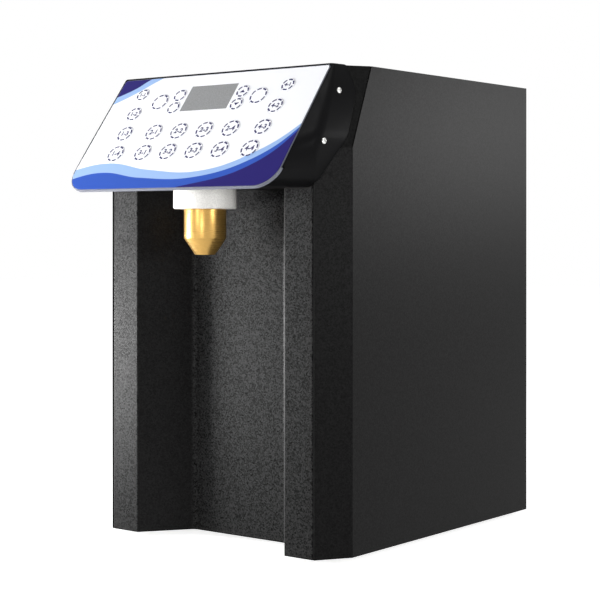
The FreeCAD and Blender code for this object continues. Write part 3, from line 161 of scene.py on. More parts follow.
@dataclass(frozen=True)
class Finish:
    """A finish with a shader whose steady values stand on its own sockets."""

    name: str
    tone: Tone
    roughness: float = 0.5
    metallic: float = 0.0
    specular: float = 0.5
    anisotropic: float = 0.0
    coat: float = 0.0
    coat_roughness: float = 0.03

    def material(self) -> bpy.types.Material:
        """Makes the material, or returns the one made before.

        Returns:
            The finished material.
        """
        made = bpy.data.materials.get(self.name)
        if made is not None:
            return made
        material = bpy.data.materials.new(self.name)
        material.use_nodes = True
        tree = material.node_tree
        shader = tree.nodes["Principled BSDF"]
        steady = {
            "Base Color": linear(self.tone),
            "Roughness": self.roughness,
            "Metallic": self.metallic,
            "Specular IOR Level": self.specular,
            "Anisotropic": self.anisotropic,
            "Coat Weight": self.coat,
            "Coat Roughness": self.coat_roughness,
        }
        set_inputs(shader, steady)
        place = add_node(tree, "TexCoord").outputs["Object"]
        self.dress(tree, shader, place)
        return material

    def dress(self, tree: Tree, shader: Node, place: Socket) -> None:
        """Adds the pattern of the finish; a plain one has none.

        Args:
            tree: The material's node tree.
            shader: Its Principled shader.
            place: The place on the object, in metres.
        """

    def grain(self, tree: Tree, place: Socket, size_mm: float, detail: float = 2.0) -> Socket:
        """A noise whose blobs have a real size.

        Args:
            tree: The material's node tree.
            place: The place on the object, in metres.
            size_mm: The size of a blob.
            detail: How many finer layers it has.

        Returns:
            The noise, from 0 to 1.
        """
        scale = 1 / (size_mm * MM)
        noise = add_node(tree, "TexNoise", {"Scale": scale, "Detail": detail}, {"Vector": place})
        return noise.outputs["Fac"]

    def spread(
        self,
        tree: Tree,
        value: Socket,
        low: float,
        high: float,
        start: float = NOISE_REACH[0],
        end: float = NOISE_REACH[1],
    ) -> Socket:
        """Maps a noise onto a range.

        Args:
            tree: The material's node tree.
            value: The noise.
            low: The value at its start.
            high: The value at its end.
            start: Where the noise starts to count.
            end: Where it stops counting.

        Returns:
            The mapped value.
        """
        settings = {"From Min": start, "From Max": end, "To Min": low, "To Max": high}
        return add_node(tree, "MapRange", settings, {"Value": value}).outputs["Result"]

    def relief(self, tree: Tree, shader: Node, height: Socket, depth_mm: float) -> Node:
        """Raises the surface by a pattern of a real depth.

        Args:
            tree: The material's node tree.
            shader: The Principled shader.
            height: The pattern, from 0 to 1.
            depth_mm: The depth of the pattern.

        Returns:
            The bump node.
        """
        bump = add_node(tree, "Bump", {"Distance": depth_mm * MM}, {"Height": height})
        tree.links.new(bump.outputs["Normal"], shader.inputs["Normal"])
        return bump

    def shaded(self, tree: Tree, shader: Node, value: Socket, low: float, high: float) -> None:
        """Lets the colour vary between a darker and a lighter shade.

        Args:
            tree: The material's node tree.
            shader: The Principled shader.
            value: The pattern, from 0 to 1.
            low: The share of the colour where the pattern is low.
            high: The share where it is high.
        """
        base = Vector(linear(self.tone)[:3])
        ramp = add_node(tree, "ValToRGB", {}, {"Fac": value})
        dark, light = ramp.color_ramp.elements
        dark.position, light.position = NOISE_REACH
        dark.color = (*(base * low), 1.0)
        light.color = (*(base * high), 1.0)
        tree.links.new(ramp.outputs["Color"], shader.inputs["Base Color"])

    def glossed(self, tree: Tree, shader: Node, value: Socket, uneven: float) -> None:
        """Lets the roughness vary round the finish's own.

        Args:
            tree: The material's node tree.
            shader: Its Principled shader.
            value: The pattern, from 0 to 1.
            uneven: How far the roughness goes up and down.
        """
        low, high = self.roughness - uneven, self.roughness + uneven
        tree.links.new(self.spread(tree, value, low, high), shader.inputs["Roughness"])


@dataclass(frozen=True)
class SandPowderCoat(Finish):
    """Black powder coat with a sand texture: baked paint whose grains glint one by one.

    The real grains are about 0.7 mm. They are drawn at 1.15 mm here, as fine as
    the picture can show. Sheet that faces sideways is coated more smoothly.
    """

    grain_mm: float = 1.15
    grain_depth_mm: float = 0.05
    shades: Point = (0.25, 2.45)
    glints: Point = (0.0, 1.0)
    shares: Point = (0.35, 1.0)
    facing: Point = (0.65, 0.9)

    def dress(self, tree: Tree, shader: Node, place: Socket) -> None:
        """Adds grains that differ in shade and glint, fewer of them on the sides.

        Args:
            tree: The material's node tree.
            shader: Its Principled shader.
            place: The place on the object, in metres.
        """
        scale = 1 / (self.grain_mm * MM)
        cells = add_node(tree, "TexVoronoi", {"Scale": scale}, {"Vector": place})
        channels = add_node(tree, "SeparateColor", {}, {"Color": cells.outputs["Color"]})
        chance = channels.outputs["Red"]
        normal = add_node(tree, "TexCoord").outputs["Normal"]
        sides = add_node(tree, "SeparateXYZ", {}, {"Vector": normal})
        front = add_node(tree, "Math", {"operation": "ABSOLUTE"}, {0: sides.outputs["Y"]})
        share = self.spread(tree, front.outputs[0], *self.shares, *self.facing)
        base = linear(self.tone)[:3]
        shade = self.varied(tree, chance, share, self.shades)
        colour = add_node(tree, "VectorMath", {"operation": "SCALE", 0: base}, {"Scale": shade})
        tree.links.new(colour.outputs["Vector"], shader.inputs["Base Color"])
        glint = self.varied(tree, chance, share, self.glints)
        tree.links.new(glint, shader.inputs["Specular Tint"])
        self.relief(tree, shader, self.grain(tree, place, self.grain_mm), self.grain_depth_mm)

    def varied(self, tree: Tree, value: Socket, share: Socket, reach: Point) -> Socket:
        """Spreads a random value round the middle of a range.

        Args:
            tree: The material's node tree.
            value: The random value, from 0 to 1.
            share: How much of the range counts, from 0 to 1.
            reach: The range's two ends.

        Returns:
            The spread value.
        """
        low, high = reach
        turn = add_node(tree, "Math", {"operation": "SUBTRACT", 1: 0.5}, {0: value})
        part = add_node(tree, "Math", {"operation": "MULTIPLY"}, {0: turn.outputs[0], 1: share})
        settings = {"operation": "MULTIPLY_ADD", 1: high - low, 2: (low + high) / 2}
        return add_node(tree, "Math", settings, {0: part.outputs[0]}).outputs[0]


@dataclass(frozen=True)
class Moulded(Finish):
    """Moulded plastic, rubber or foam: an even skin with a fine texture from the mould."""

    texture_mm: float = 1.2
    texture_depth_mm: float = 0.02
    edge_radius_mm: float = 0.0
    shades: Point = (0.9, 1.1)
    cloud_share: float = 25.0
    uneven: float = 0.04

    def dress(self, tree: Tree, shader: Node, place: Socket) -> None:
        """Adds the mould's texture and, where a piece has sharp edges, their rounding.

        Args:
            tree: The material's node tree.
            shader: Its Principled shader.
            place: The place on the object, in metres.
        """
        texture = self.grain(tree, place, self.texture_mm)
        bump = self.relief(tree, shader, texture, self.texture_depth_mm)
        if self.edge_radius_mm:
            edge = add_node(tree, "Bevel", {"Radius": self.edge_radius_mm * MM})
            tree.links.new(edge.outputs["Normal"], bump.inputs["Normal"])
        self.shaded(tree, shader, texture, *self.shades)
        cloud = self.grain(tree, place, self.cloud_share * self.texture_mm)
        self.glossed(tree, shader, cloud, self.uneven)


class Grain(Enum):
    """Which way a metal's tool marks run."""

    TURNED = "round the axis"
    LENGTHWAYS = "along x"
    CAST = "no way"


@dataclass(frozen=True)
class ToolMarked(Finish):
    """Bare metal with the marks of its making: turned, brushed or cast.

    The lines of a turned piece are about 0.15 mm apart. They are drawn at
    0.4 mm, as fine as the picture can show.
    """

    grain_way: Grain = Grain.TURNED
    pitch_mm: float = 0.4
    depth_mm: float = 0.004
    uneven: float = 0.06
    axis: Vector | None = None
    shades: Point = (0.9, 1.06)
    cloud_mm: float = 18.0
    cast_detail: float = 4.0

    def dress(self, tree: Tree, shader: Node, place: Socket) -> None:
        """Adds tool marks, slight tarnish and uneven gloss.

        Args:
            tree: The material's node tree.
            shader: Its Principled shader.
            place: The place on the object, in metres.
        """
        if self.grain_way is Grain.CAST:
            marks = self.grain(tree, place, self.pitch_mm, self.cast_detail)
        else:
            marks = self.grain(tree, self.stretched(tree, place), self.pitch_mm)
        self.relief(tree, shader, marks, self.depth_mm)
        self.shaded(tree, shader, self.grain(tree, place, self.cloud_mm), *self.shades)
        self.glossed(tree, shader, marks, self.uneven)

    def stretched(self, tree: Tree, place: Socket) -> Socket:
        """Coordinates that change only across the tool marks.

        Args:
            tree: The material's node tree.
            place: The place on the object, in metres.

        Returns:
            A vector for the noise.
        """
        settings = {"vector_type": "TEXTURE", "Location": self.axis or Vector()}
        centred = add_node(tree, "Mapping", settings, {"Vector": place})
        x, y, z = add_node(tree, "SeparateXYZ", {}, {"Vector": centred.outputs["Vector"]}).outputs
        if self.grain_way is Grain.LENGTHWAYS:
            across = add_node(tree, "CombineXYZ", {"X": 0.0}, {"Y": y, "Z": z})
            return across.outputs["Vector"]
        flat = add_node(tree, "CombineXYZ", {}, {"X": x, "Y": y})
        radius = add_node(tree, "VectorMath", {"operation": "LENGTH"}, {0: flat.outputs["Vector"]})
        lines = add_node(tree, "CombineXYZ", {}, {"X": radius.outputs["Value"], "Z": z})
        return lines.outputs["Vector"]


@dataclass(frozen=True)
class Panel:
    """Where the sloping key panel lies: its frame is u to the right, v up the slope.

    Its lower edge stands out by the reach in front of the casing.
    """

    reach_mm: float = 61.4
    bottom_mm: float = 327.0
    rise_mm: float = 109.0
    run_mm: float = 83.5
    half_mm: float = 123.6
    length_mm: float = 135.9

    def angle(self) -> float:
        """The panel's slope, in radians."""
        return math.atan2(self.rise_mm, self.run_mm)

    def origin(self) -> Vector:
        """The middle of the panel's lower edge, in metres."""
        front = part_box("front_panel")[0].y
        return Vector((0.0, front - self.reach_mm * MM, self.bottom_mm * MM))

    def matrix(self) -> Matrix:
        """Puts a piece drawn flat, in metres, onto the panel."""
        return Matrix.Translation(self.origin()) @ Matrix.Rotation(self.angle(), 4, "X")


@dataclass(frozen=True)
class Wave:
    """One printed band: everything under a curve across the panel."""

    tone: Tone
    heights_mm: tuple[Point, ...]
    above: bool = False


@dataclass(frozen=True)
class PrintedFilm(Finish):
    """Polyester overlay, printed from behind: bright white with soft blue waves."""

    panel: Panel = field(default_factory=Panel)
    waves: tuple[Wave, ...] = ()
    print_edge_mm: float = 0.35
    texture_mm: float = 0.9
    texture_depth_mm: float = 0.004

    def dress(self, tree: Tree, shader: Node, place: Socket) -> None:
        """Prints the waves and adds the film's fine velvet texture.

        Args:
            tree: The material's node tree.
            shader: Its Principled shader.
            place: The place on the object, in metres.
        """
        settings = {
            "vector_type": "TEXTURE",
            "Location": self.panel.origin(),
            "Rotation": (self.panel.angle(), 0.0, 0.0),
            "Scale": (MM, MM, MM),
        }
        flat = add_node(tree, "Mapping", settings, {"Vector": place})
        split = add_node(tree, "SeparateXYZ", {}, {"Vector": flat.outputs["Vector"]})
        across, up, _ = split.outputs
        half = self.panel.half_mm
        along = self.spread(tree, across, 0.0, 1.0, -half, half)
        colour: Socket | None = None
        for wave in self.waves:
            cover = self.cover(tree, wave, along, up)
            layer = add_node(tree, "MixRGB", {"Color2": linear(wave.tone)}, {"Fac": cover})
            if colour is None:
                layer.inputs["Color1"].default_value = linear(self.tone)
            else:
                tree.links.new(colour, layer.inputs["Color1"])
            colour = layer.outputs["Color"]
        if colour is not None:
            tree.links.new(colour, shader.inputs["Base Color"])
        self.relief(tree, shader, self.grain(tree, place, self.texture_mm), self.texture_depth_mm)

    def cover(self, tree: Tree, wave: Wave, along: Socket, up: Socket) -> Socket:
        """How much of a wave's ink lies at a place.

        Args:
            tree: The material's node tree.
            wave: The wave.
            along: The place across the panel, from 0 to 1.
            up: The place up the panel, in millimetres.

        Returns:
            From 0, bare, to 1, covered.
        """
        curve = add_node(tree, "FloatCurve", {}, {"Value": along})
        points = curve.mapping.curves[0].points
        while len(points) < len(wave.heights_mm):
            points.new(0.5, 0.5)
        for point, (u, v) in zip(points, wave.heights_mm):
            share = (u + self.panel.half_mm) / (2 * self.panel.half_mm)
            point.location = (share, v / self.panel.length_mm)
            point.handle_type = "AUTO"
        curve.mapping.update()
        scale = {"operation": "MULTIPLY", 1: self.panel.length_mm}
        edge = add_node(tree, "Math", scale, {0: curve.outputs["Value"]})
        first, second = (up, edge.outputs[0]) if wave.above else (edge.outputs[0], up)
        inside = add_node(tree, "Math", {"operation": "SUBTRACT"}, {0: first, 1: second})
        return self.spread(tree, inside.outputs[0], 0.0, 1.0, 0.0, self.print_edge_mm)


def finished(
    bm: Shape,
    name: str,
    material: bpy.types.Material,
    sharp_degrees: float = 35.0,
) -> bpy.types.Object:
    """Turns a bmesh into a piece whose object sits at the origin.

    Args:
        bm: The shape, in metres; it is freed.
        name: The piece's name.
        material: Its material.
        sharp_degrees: Edges that turn more than this stay sharp.

    Returns:
        The new object.
    """
    bmesh.ops.remove_doubles(bm, verts=bm.verts, dist=WELD)
    bmesh.ops.recalc_face_normals(bm, faces=bm.faces)
    for face in bm.faces:
        face.smooth = True
    mesh = bpy.data.meshes.new(name)
    bm.to_mesh(mesh)
    bm.free()
    mesh.set_sharp_from_angle(angle=math.radians(sharp_degrees))
    mesh.materials.append(material)
    made = bpy.data.objects.new(name, mesh)
    bpy.context.scene.collection.objects.link(made)
    return made


def add_piece(
    made: bpy.types.Object, body: str, replaced: Iterable[str] = ()
) -> bpy.types.Object:
    """Lets a piece ride on its body and stand for its solids.

    Args:
        made: The piece.
        body: The body that carries it.
        replaced: The solids that it stands for.

    Returns:
        The same piece.
    """
    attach(made, body)
    if replaced:
        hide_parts(*replaced)
    log.info("%s: %d faces on %s", made.name, len(made.data.polygons), body)
    return made


def dress(material: bpy.types.Material, *nodes: str) -> None:
    """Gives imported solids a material.

    Args:
        material: The material.
        *nodes: The solids' names.
    """
    for node in nodes:
        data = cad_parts[node].data
        data.materials.clear()
        data.materials.append(material)
        log.info("%s: %s", node, material.name)


def lathe(profile: Sequence[Point], centre: Vector, steps: int = 96) -> Shape:
    """Turns a profile round the vertical axis through a point.

    Args:
        profile: Radius and height of each point, in millimetres.
        centre: A point on the axis, in metres.
        steps: How many faces go round.

    Returns:
        The turned shape.
    """
    bm = bmesh.new()
    verts = [bm.verts.new((centre.x + r * MM, centre.y, z * MM)) for r, z in profile]
    edges = [bm.edges.new(pair) for pair in zip(verts, verts[1:])]
    bmesh.ops.spin(
        bm,
        geom=verts + edges,
        cent=centre,
        axis=(0.0, 0.0, 1.0),
        angle=math.tau,
        steps=steps,
        use_merge=True,
        use_duplicate=False,
    )
    bmesh.ops.remove_doubles(bm, verts=bm.verts, dist=WELD)
    bmesh.ops.recalc_face_normals(bm, faces=bm.faces)
    return bm


def islands(node: str) -> list[tuple[Vector, Vector]]:
    """The boxes of a node's separate solids, in order from the left.

    Args:
        node: The node's name.

    Returns:
        The lowest and highest corner of each solid, in metres.
    """
    bm = bmesh.new()
    bm.from_mesh(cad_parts[node].data)
    bmesh.ops.remove_doubles(bm, verts=bm.verts, dist=WELD)
    left, boxes = set(bm.verts), []
    while left:
        reached, front = set(), {left.pop()}
        while front:
            reached |= front
            front = {e.other_vert(v) for v in front for e in v.link_edges} - reached
        left -= reached
        places = [v.co for v in reached]
        low = Vector([min(p[k] for p in places) for k in range(3)])
        high = Vector([max(p[k] for p in places) for k in range(3)])
        boxes.append((low, high))
    bm.free()
    return sorted(boxes, key=lambda box: tuple(box[0]))


def rounded(corners: Sequence[Point], radii: Sequence[float], steps: int = 6) -> list[Point]:
    """Rounds the inner corners of an open run of straight lines.

    Args:
        corners: The run's corners.
        radii: The radius of each corner between the first and the last.
        steps: How many lines make one rounding.

    Returns:
        The rounded run, with as many points whatever the radii are.
    """
    run = [corners[0]]
    for before, at, after, radius in zip(corners, corners[1:], corners[2:], radii):
        corner = Vector(at)
        into, out_of = corner - Vector(before), Vector(after) - corner
        half_turn = into.angle(out_of, 0.0) / 2
        room = ROUNDING_SHARE * min(into.length, out_of.length)
        reach = min(radius * math.tan(half_turn), room)
        start, end = corner - into.normalized() * reach, corner + out_of.normalized() * reach
        for step in range(steps + 1):
            share = step / steps
            place = start.lerp(corner, share).lerp(corner.lerp(end, share), share)
            run.append((place.x, place.y))
    run.append(corners[-1])
    return run


def rounded_box(half: Point, centre: Point, radius: float, steps: int = 6) -> list[Point]:
    """A rectangle with round corners, as a closed outline.

    Args:
        half: Half its width and half its height.
        centre: Its middle.
        radius: The radius of its corners.
        steps: How many lines make one rounding.

    Returns:
        The outline's points.
    """
    (w, h), (x, y) = half, centre
    signs = ((1, 0), (1, 1), (-1, 1), (-1, -1), (1, -1), (1, 0))
    corners = [(x + sx * w, y + sy * h) for sx, sy in signs]
    return rounded(corners, [radius] * 4, steps)[:-1]


def offset(outline: Sequence[Point], distance: float) -> list[Point]:
    """Moves the sides of a closed outline outwards.

    Args:
        outline: The corners, counter-clockwise.
        distance: How far each side moves.

    Returns:
        The new corners.
    """
    corners = []
    around = list(outline)
    for before, at, after in zip(around[-1:] + around[:-1], around, around[1:] + around[:1]):
        into = (Vector(at) - Vector(before)).normalized()
        out_of = (Vector(after) - Vector(at)).normalized()
        bisector = Vector((into.y + out_of.y, -into.x - out_of.x))
        place = Vector(at) + bisector * (distance / (1 + into.dot(out_of)))
        corners.append((place.x, place.y))
    return corners


def stack(rings: Sequence[Sequence[Place]], bm: Shape | None = None) -> Shape:
    """Joins rings of points, one above the other, into a closed shape.

    Args:
        rings: The rings, with as many points each, in millimetres.
        bm: A shape to add to; a new one is made without it.

    Returns:
        The shape, in millimetres.
    """
    bm = bm or bmesh.new()
    levels = [[bm.verts.new(point) for point in ring] for ring in rings]
    for low, high in zip(levels, levels[1:]):
        for a, b, c, d in zip(low, low[1:] + low[:1], high[1:] + high[:1], high):
            bm.faces.new((a, b, c, d))
    bm.faces.new(levels[0][::-1])
    bm.faces.new(levels[-1])
    return bm


def prism(
    outline: Sequence[Point],
    low: float,
    high: float,
    bm: Shape | None = None,
    lean: float = 0.0,
) -> Shape:
    """Raises a closed outline into a solid.

    Args:
        outline: The corners, in millimetres.
        low: The height of its foot.
        high: The height of its top.
        bm: A shape to add to; a new one is made without it.
        lean: How far the top is moved along y.

    Returns:
        The shape, in millimetres.
    """
    top = [(x, y + lean, high) for x, y in outline]
    return stack([[(x, y, low) for x, y in outline], top], bm)


def circle(radius: float, centre: Point = (0.0, 0.0), steps: int = 48) -> list[Point]:
    """The points of a circle."""
    angles = [math.tau * step / steps for step in range(steps)]
    return [(centre[0] + radius * math.cos(a), centre[1] + radius * math.sin(a)) for a in angles]


def moved(bm: Shape, matrix: Matrix) -> Shape:
    """Moves a shape and returns it."""
    bmesh.ops.transform(bm, matrix=matrix, verts=bm.verts)
    return bm


def joined(shapes: Iterable[Shape]) -> Shape:
    """Puts shapes together in one; the shapes are freed.

    Args:
        shapes: The shapes.

    Returns:
        One shape that holds them all.
    """
    total = bmesh.new()
    for shape in shapes:
        mesh = bpy.data.meshes.new("part")
        shape.to_mesh(mesh)
        shape.free()
        total.from_mesh(mesh)
        bpy.data.meshes.remove(mesh)
    return total


def carved(body: Shape, cutters: Iterable[Shape]) -> Shape:
    """Cuts shapes out of a shape; all of them are freed.

    Args:
        body: The shape that is cut.
        cutters: The shapes that are taken away.

    Returns:
        What is left.
    """
    made = []
    for shape in (body, *cutters):
        bmesh.ops.remove_doubles(shape, verts=shape.verts, dist=WELD / MM)
        bmesh.ops.recalc_face_normals(shape, faces=shape.faces)
        mesh = bpy.data.meshes.new("work")
        shape.to_mesh(mesh)
        shape.free()
        made.append(bpy.data.objects.new("work", mesh))
        bpy.context.scene.collection.objects.link(made[-1])
    for cutter in made[1:]:
        cut = made[0].modifiers.new("cut", "BOOLEAN")
        cut.operation = "DIFFERENCE"
        cut.solver = "EXACT"
        cut.object = cutter
    left = bmesh.new()
    left.from_object(made[0], bpy.context.evaluated_depsgraph_get())
    for each in made:
        mesh = each.data
        bpy.data.objects.remove(each)
        bpy.data.meshes.remove(mesh)
    return left


def lettering(text: str, size_mm: float, depth_mm: float, weight: float = 0.034) -> Shape:
    """Thin raised letters round the origin, in millimetres.

    Args:
        text: What is written.
        size_mm: The size of the letters.
        depth_mm: How far they stand out, half of it below zero.
        weight: How much their strokes are thickened, as a share of the size.

    Returns:
        The letters' shape.
    """
    curve = bpy.data.curves.new("text", "FONT")
    curve.body = text
    curve.size = size_mm
    curve.align_x, curve.align_y = "CENTER", "CENTER"
    curve.extrude = depth_mm / 2
    curve.offset = size_mm * weight
    curve.resolution_u = 3
    holder = bpy.data.objects.new("text", curve)
    bpy.context.scene.collection.objects.link(holder)
    graph = bpy.context.evaluated_depsgraph_get()
    mesh = bpy.data.meshes.new_from_object(holder.evaluated_get(graph))
    bm = bmesh.new()
    bm.from_mesh(mesh)
    bmesh.ops.remove_doubles(bm, verts=bm.verts, dist=WELD / MM)
    bpy.data.objects.remove(holder)
    bpy.data.curves.remove(curve)
    bpy.data.meshes.remove(mesh)
    return bm


def dress_faces(
    node: str, material: bpy.types.Material, chosen: Callable[[Vector, Vector], bool]
) -> None:
    """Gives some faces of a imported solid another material.

    Args:
        node: The solid's name.
        material: The material.
        chosen: Says whether a face takes it, from how far its middle lies from the
            lowest and from the highest corner of the solid's box, in millimetres.
    """
    low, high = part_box(node)
    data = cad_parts[node].data
    data.materials.append(material)
    index = len(data.materials) - 1
    for face in data.polygons:
        if chosen((face.center - low) / MM, (high - face.center) / MM):
            face.material_index = index


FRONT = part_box("front_panel")[0].y
TO_ROW = Matrix.Translation((0.0, FRONT, 0.0)) @ Matrix.Scale(MM, 4)

# Baked sand-texture paint: near black, with dull sparks where light grazes the grit.
SAND_COAT = SandPowderCoat("Sand texture powder coat", Tone.COAT_BLACK, 0.36, specular=0.112)
# The same paint sprayed smoother: a slow sheen from edge to edge.
SMOOTH_COAT = replace(SAND_COAT, name="Smooth powder coat", specular=0.054, shares=(0.35, 0.35))
# Black rubber: dull, so the feet fade into their own shadow.
RUBBER = Moulded("Nitrile rubber", Tone.RUBBER_BLACK, 0.75, specular=0.3, edge_radius_mm=0.5)
# Moulded ABS: deep black with a soft, wide highlight along its rounded corners.
HEAD_ABS = Moulded("Satin black ABS", Tone.HEAD_BLACK, 0.36, specular=0.03, edge_radius_mm=0.7)
# Pale grey ABS of the key plate: only its rim shows, as a light line.
PLATE_ABS = Moulded("Grey ABS", Tone.PLATE_GREY, 0.4, edge_radius_mm=0.4)
# Tinted display window: an even grey with a faint sheen.
WINDOW = Moulded("Tinted acrylic", Tone.WINDOW_GREY, 0.3, specular=0.06, texture_depth_mm=0.002)
# Dark blue ink of rings, numbers and arrows: flat and crisp.
INK = Finish("Screen ink, dark blue", Tone.INK, 0.5, specular=0.3)
# White ink of the switch's marks.
MARK_INK = Finish("Screen ink, white", Tone.MARK_WHITE, 0.5, specular=0.3)
# White acetal: turned, silky, the brightest solid beside the film.
ACETAL = Moulded("Turned white acetal", Tone.ACETAL_WHITE, 0.38, edge_radius_mm=0.4)
# Turned brass: warm gold, with a white line where it mirrors a lamp and dark gold beside it.
BRASS = ToolMarked("Turned brass", Tone.BRASS, 0.3, 0.75, uneven=0.08, depth_mm=0.001)
# Cast brass of the pump: the same gold, but dull and pitted.
CAST_BRASS = ToolMarked(
    "Cast brass", Tone.BRASS, 0.42, 1.0, grain_way=Grain.CAST, pitch_mm=1.4, depth_mm=0.05
)
# Brushed stainless steel: light grey streaks round the tank and its lid.
STAINLESS = ToolMarked("Brushed stainless steel", Tone.STEEL, 0.3, 1.0, anisotropic=0.4)
# Galvanised sheet: grey with the cloudy patches of zinc.
GALVANISED = ToolMarked(
    "Galvanised steel", Tone.ZINC, 0.45, 1.0, grain_way=Grain.CAST, pitch_mm=9.0, depth_mm=0.01
)
# Bright zinc plating on the motor: smooth and cool.
ZINC_PLATE = ToolMarked("Zinc-plated steel", Tone.ZINC, 0.32, 1.0, grain_way=Grain.LENGTHWAYS)
# Nickel plating: small bright points on screws, pins and ball.
NICKEL = ToolMarked("Nickel plate", Tone.NICKEL, 0.18, 1.0, grain_way=Grain.CAST, depth_mm=0.002)
# Ground gear steel: bright flanks with fine straight lines.
GEAR_STEEL = ToolMarked("Ground steel", Tone.STEEL, 0.25, 1.0, grain_way=Grain.LENGTHWAYS)
# Folded aluminium: pale and satin.
ALUMINIUM = ToolMarked("Folded aluminium", Tone.ALUMINIUM, 0.4, 1.0, grain_way=Grain.LENGTHWAYS)
# Closed-cell foam: dull dark grey with fine cells.
FOAM = Moulded(
    "Closed-cell foam", Tone.FOAM_GREY, 0.9, specular=0.2, texture_mm=1.6, texture_depth_mm=0.25
)
# Heater mat: orange-red silicone with a satin weave.
HEATER = Moulded(
    "Red silicone rubber", Tone.HEATER_RED, 0.55, texture_mm=0.9, texture_depth_mm=0.08
)
# Milky hose: pale and slightly shiny.
HOSE = Moulded("Milky silicone", Tone.SILICONE, 0.35, specular=0.45)
# Phenolic knob: deep gloss black with a tight highlight.
PHENOLIC = Moulded("Polished phenolic", Tone.PHENOLIC_BLACK, 0.14, coat=0.4)
# Green solder mask.
BOARD = Moulded("Green solder mask", Tone.BOARD_GREEN, 0.35, edge_radius_mm=0.1)
# Black housings of modules, switches and chips.
MODULE = Moulded("Black nylon", Tone.MODULE_BLACK, 0.5, edge_radius_mm=0.3)
# Inlet, drawer and rocker: black polycarbonate with a light sheen.
INLET = Moulded("Black polycarbonate", Tone.INLET_BLACK, 0.36, edge_radius_mm=0.5)


@dataclass(frozen=True)
class Screw:
    """A pan-head screw with a cross recess, its head up and its seat at height zero.

    Its rim, its recess and its point are shares of its radii, height and length.
    """

    head_radius: float
    head_height: float
    radius: float
    length: float
    steps: int = 32
    rim: float = 0.3
    dome_angles: tuple[float, ...] = (0.0, 0.35, 0.7, 1.05, 1.35)
    point: Point = (0.6, 0.8)
    recess: tuple[Place, ...] = ((0.3, 0.08, 0.04), (0.62, 0.13, 0.06))
    recess_levels: Point = (0.3, 1.1)

    def shape(self) -> Shape:
        """Turns the screw and cuts its recess.

        Returns:
            The screw, in millimetres.
        """
        r, h, rim = self.head_radius, self.head_height, self.rim
        narrow, short = self.point
        tip = [(0.0, -self.length), (self.radius * narrow, -self.length)]
        shank = [(self.radius, -self.length * short), (self.radius, 0.0), (r, 0.0)]
        dome = [(r * math.cos(a), h * (rim + (1 - rim) * math.sin(a))) for a in self.dome_angles]
        profile = tip + shank + dome + [(0.0, h)]
        turned = moved(lathe(profile, Vector(), self.steps), Matrix.Scale(1 / MM, 4))
        blades = []
        for turn in (0.0, math.pi / 2):
            rings = []
            for (reach, wide, corner), level in zip(self.recess, self.recess_levels):
                outline = rounded_box((r * reach, r * wide), (0.0, 0.0), r * corner, 2)
                rings.append([(x, y, h * level) for x, y in outline])
            blades.append(moved(stack(rings), Matrix.Rotation(turn, 4, "Z")))
        return carved(turned, blades)

    def fit(self, node: str, slot: str, outward: Callable[[Vector], Vector]) -> None:
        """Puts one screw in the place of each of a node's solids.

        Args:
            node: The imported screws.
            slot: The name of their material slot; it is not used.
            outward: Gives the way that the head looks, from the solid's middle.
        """
        screws = []
        for low, high in islands(node):
            middle = (low + high) / 2
            way = outward(middle)
            top = max(way.dot(low), way.dot(high)) - self.head_height * MM
            seat = middle + way * (top - way.dot(middle))
            turn = Vector((0, 0, 1)).rotation_difference(way).to_matrix().to_4x4()
            place = Matrix.Translation(seat) @ turn @ Matrix.Scale(MM, 4)
            screws.append(moved(self.shape(), place))
        made = finished(joined(screws), node + "_pan_head", NICKEL.material())
        add_piece(made, CASING, (node,))


@dataclass(frozen=True)
class Casing:
    """The folded steel casing on its rubber feet."""

    screw: Screw = Screw(3.6, 2.2, 2.0, 7.0)
    foot: tuple[Point, ...] = (
        (0.0, 0.6), (6.0, 0.6), (6.4, 0.0), (10.1, 0.0), (10.5, 0.3), (11.0, 1.8), (10.6, 2.2),
        (11.1, 2.6), (11.8, 4.7), (11.5, 5.0), (3.95, 5.0), (3.95, 9.4), (3.4, 10.0), (0.0, 10.0),
    )

    def build(self) -> None:
        """Coats the panels, turns the feet and fits the screws."""
        dress(SAND_COAT.material(), "front_panel")
        smooth = ("left_side_panel", "right_side_panel", "rear_panel", "top_deck", "base_plate")
        dress(SMOOTH_COAT.material(), *smooth)
        dress(GALVANISED.material(), "tank_shelf")
        feet = [lathe(self.foot, (low + high) / 2) for low, high in islands("rubber_feet")]
        made = finished(joined(feet), "turned_feet", RUBBER.material())
        add_piece(made, CASING, ("rubber_feet",))
        self.screw.fit("casing_screws", "bright_screws", lambda middle: Vector((0, 1, 0)))


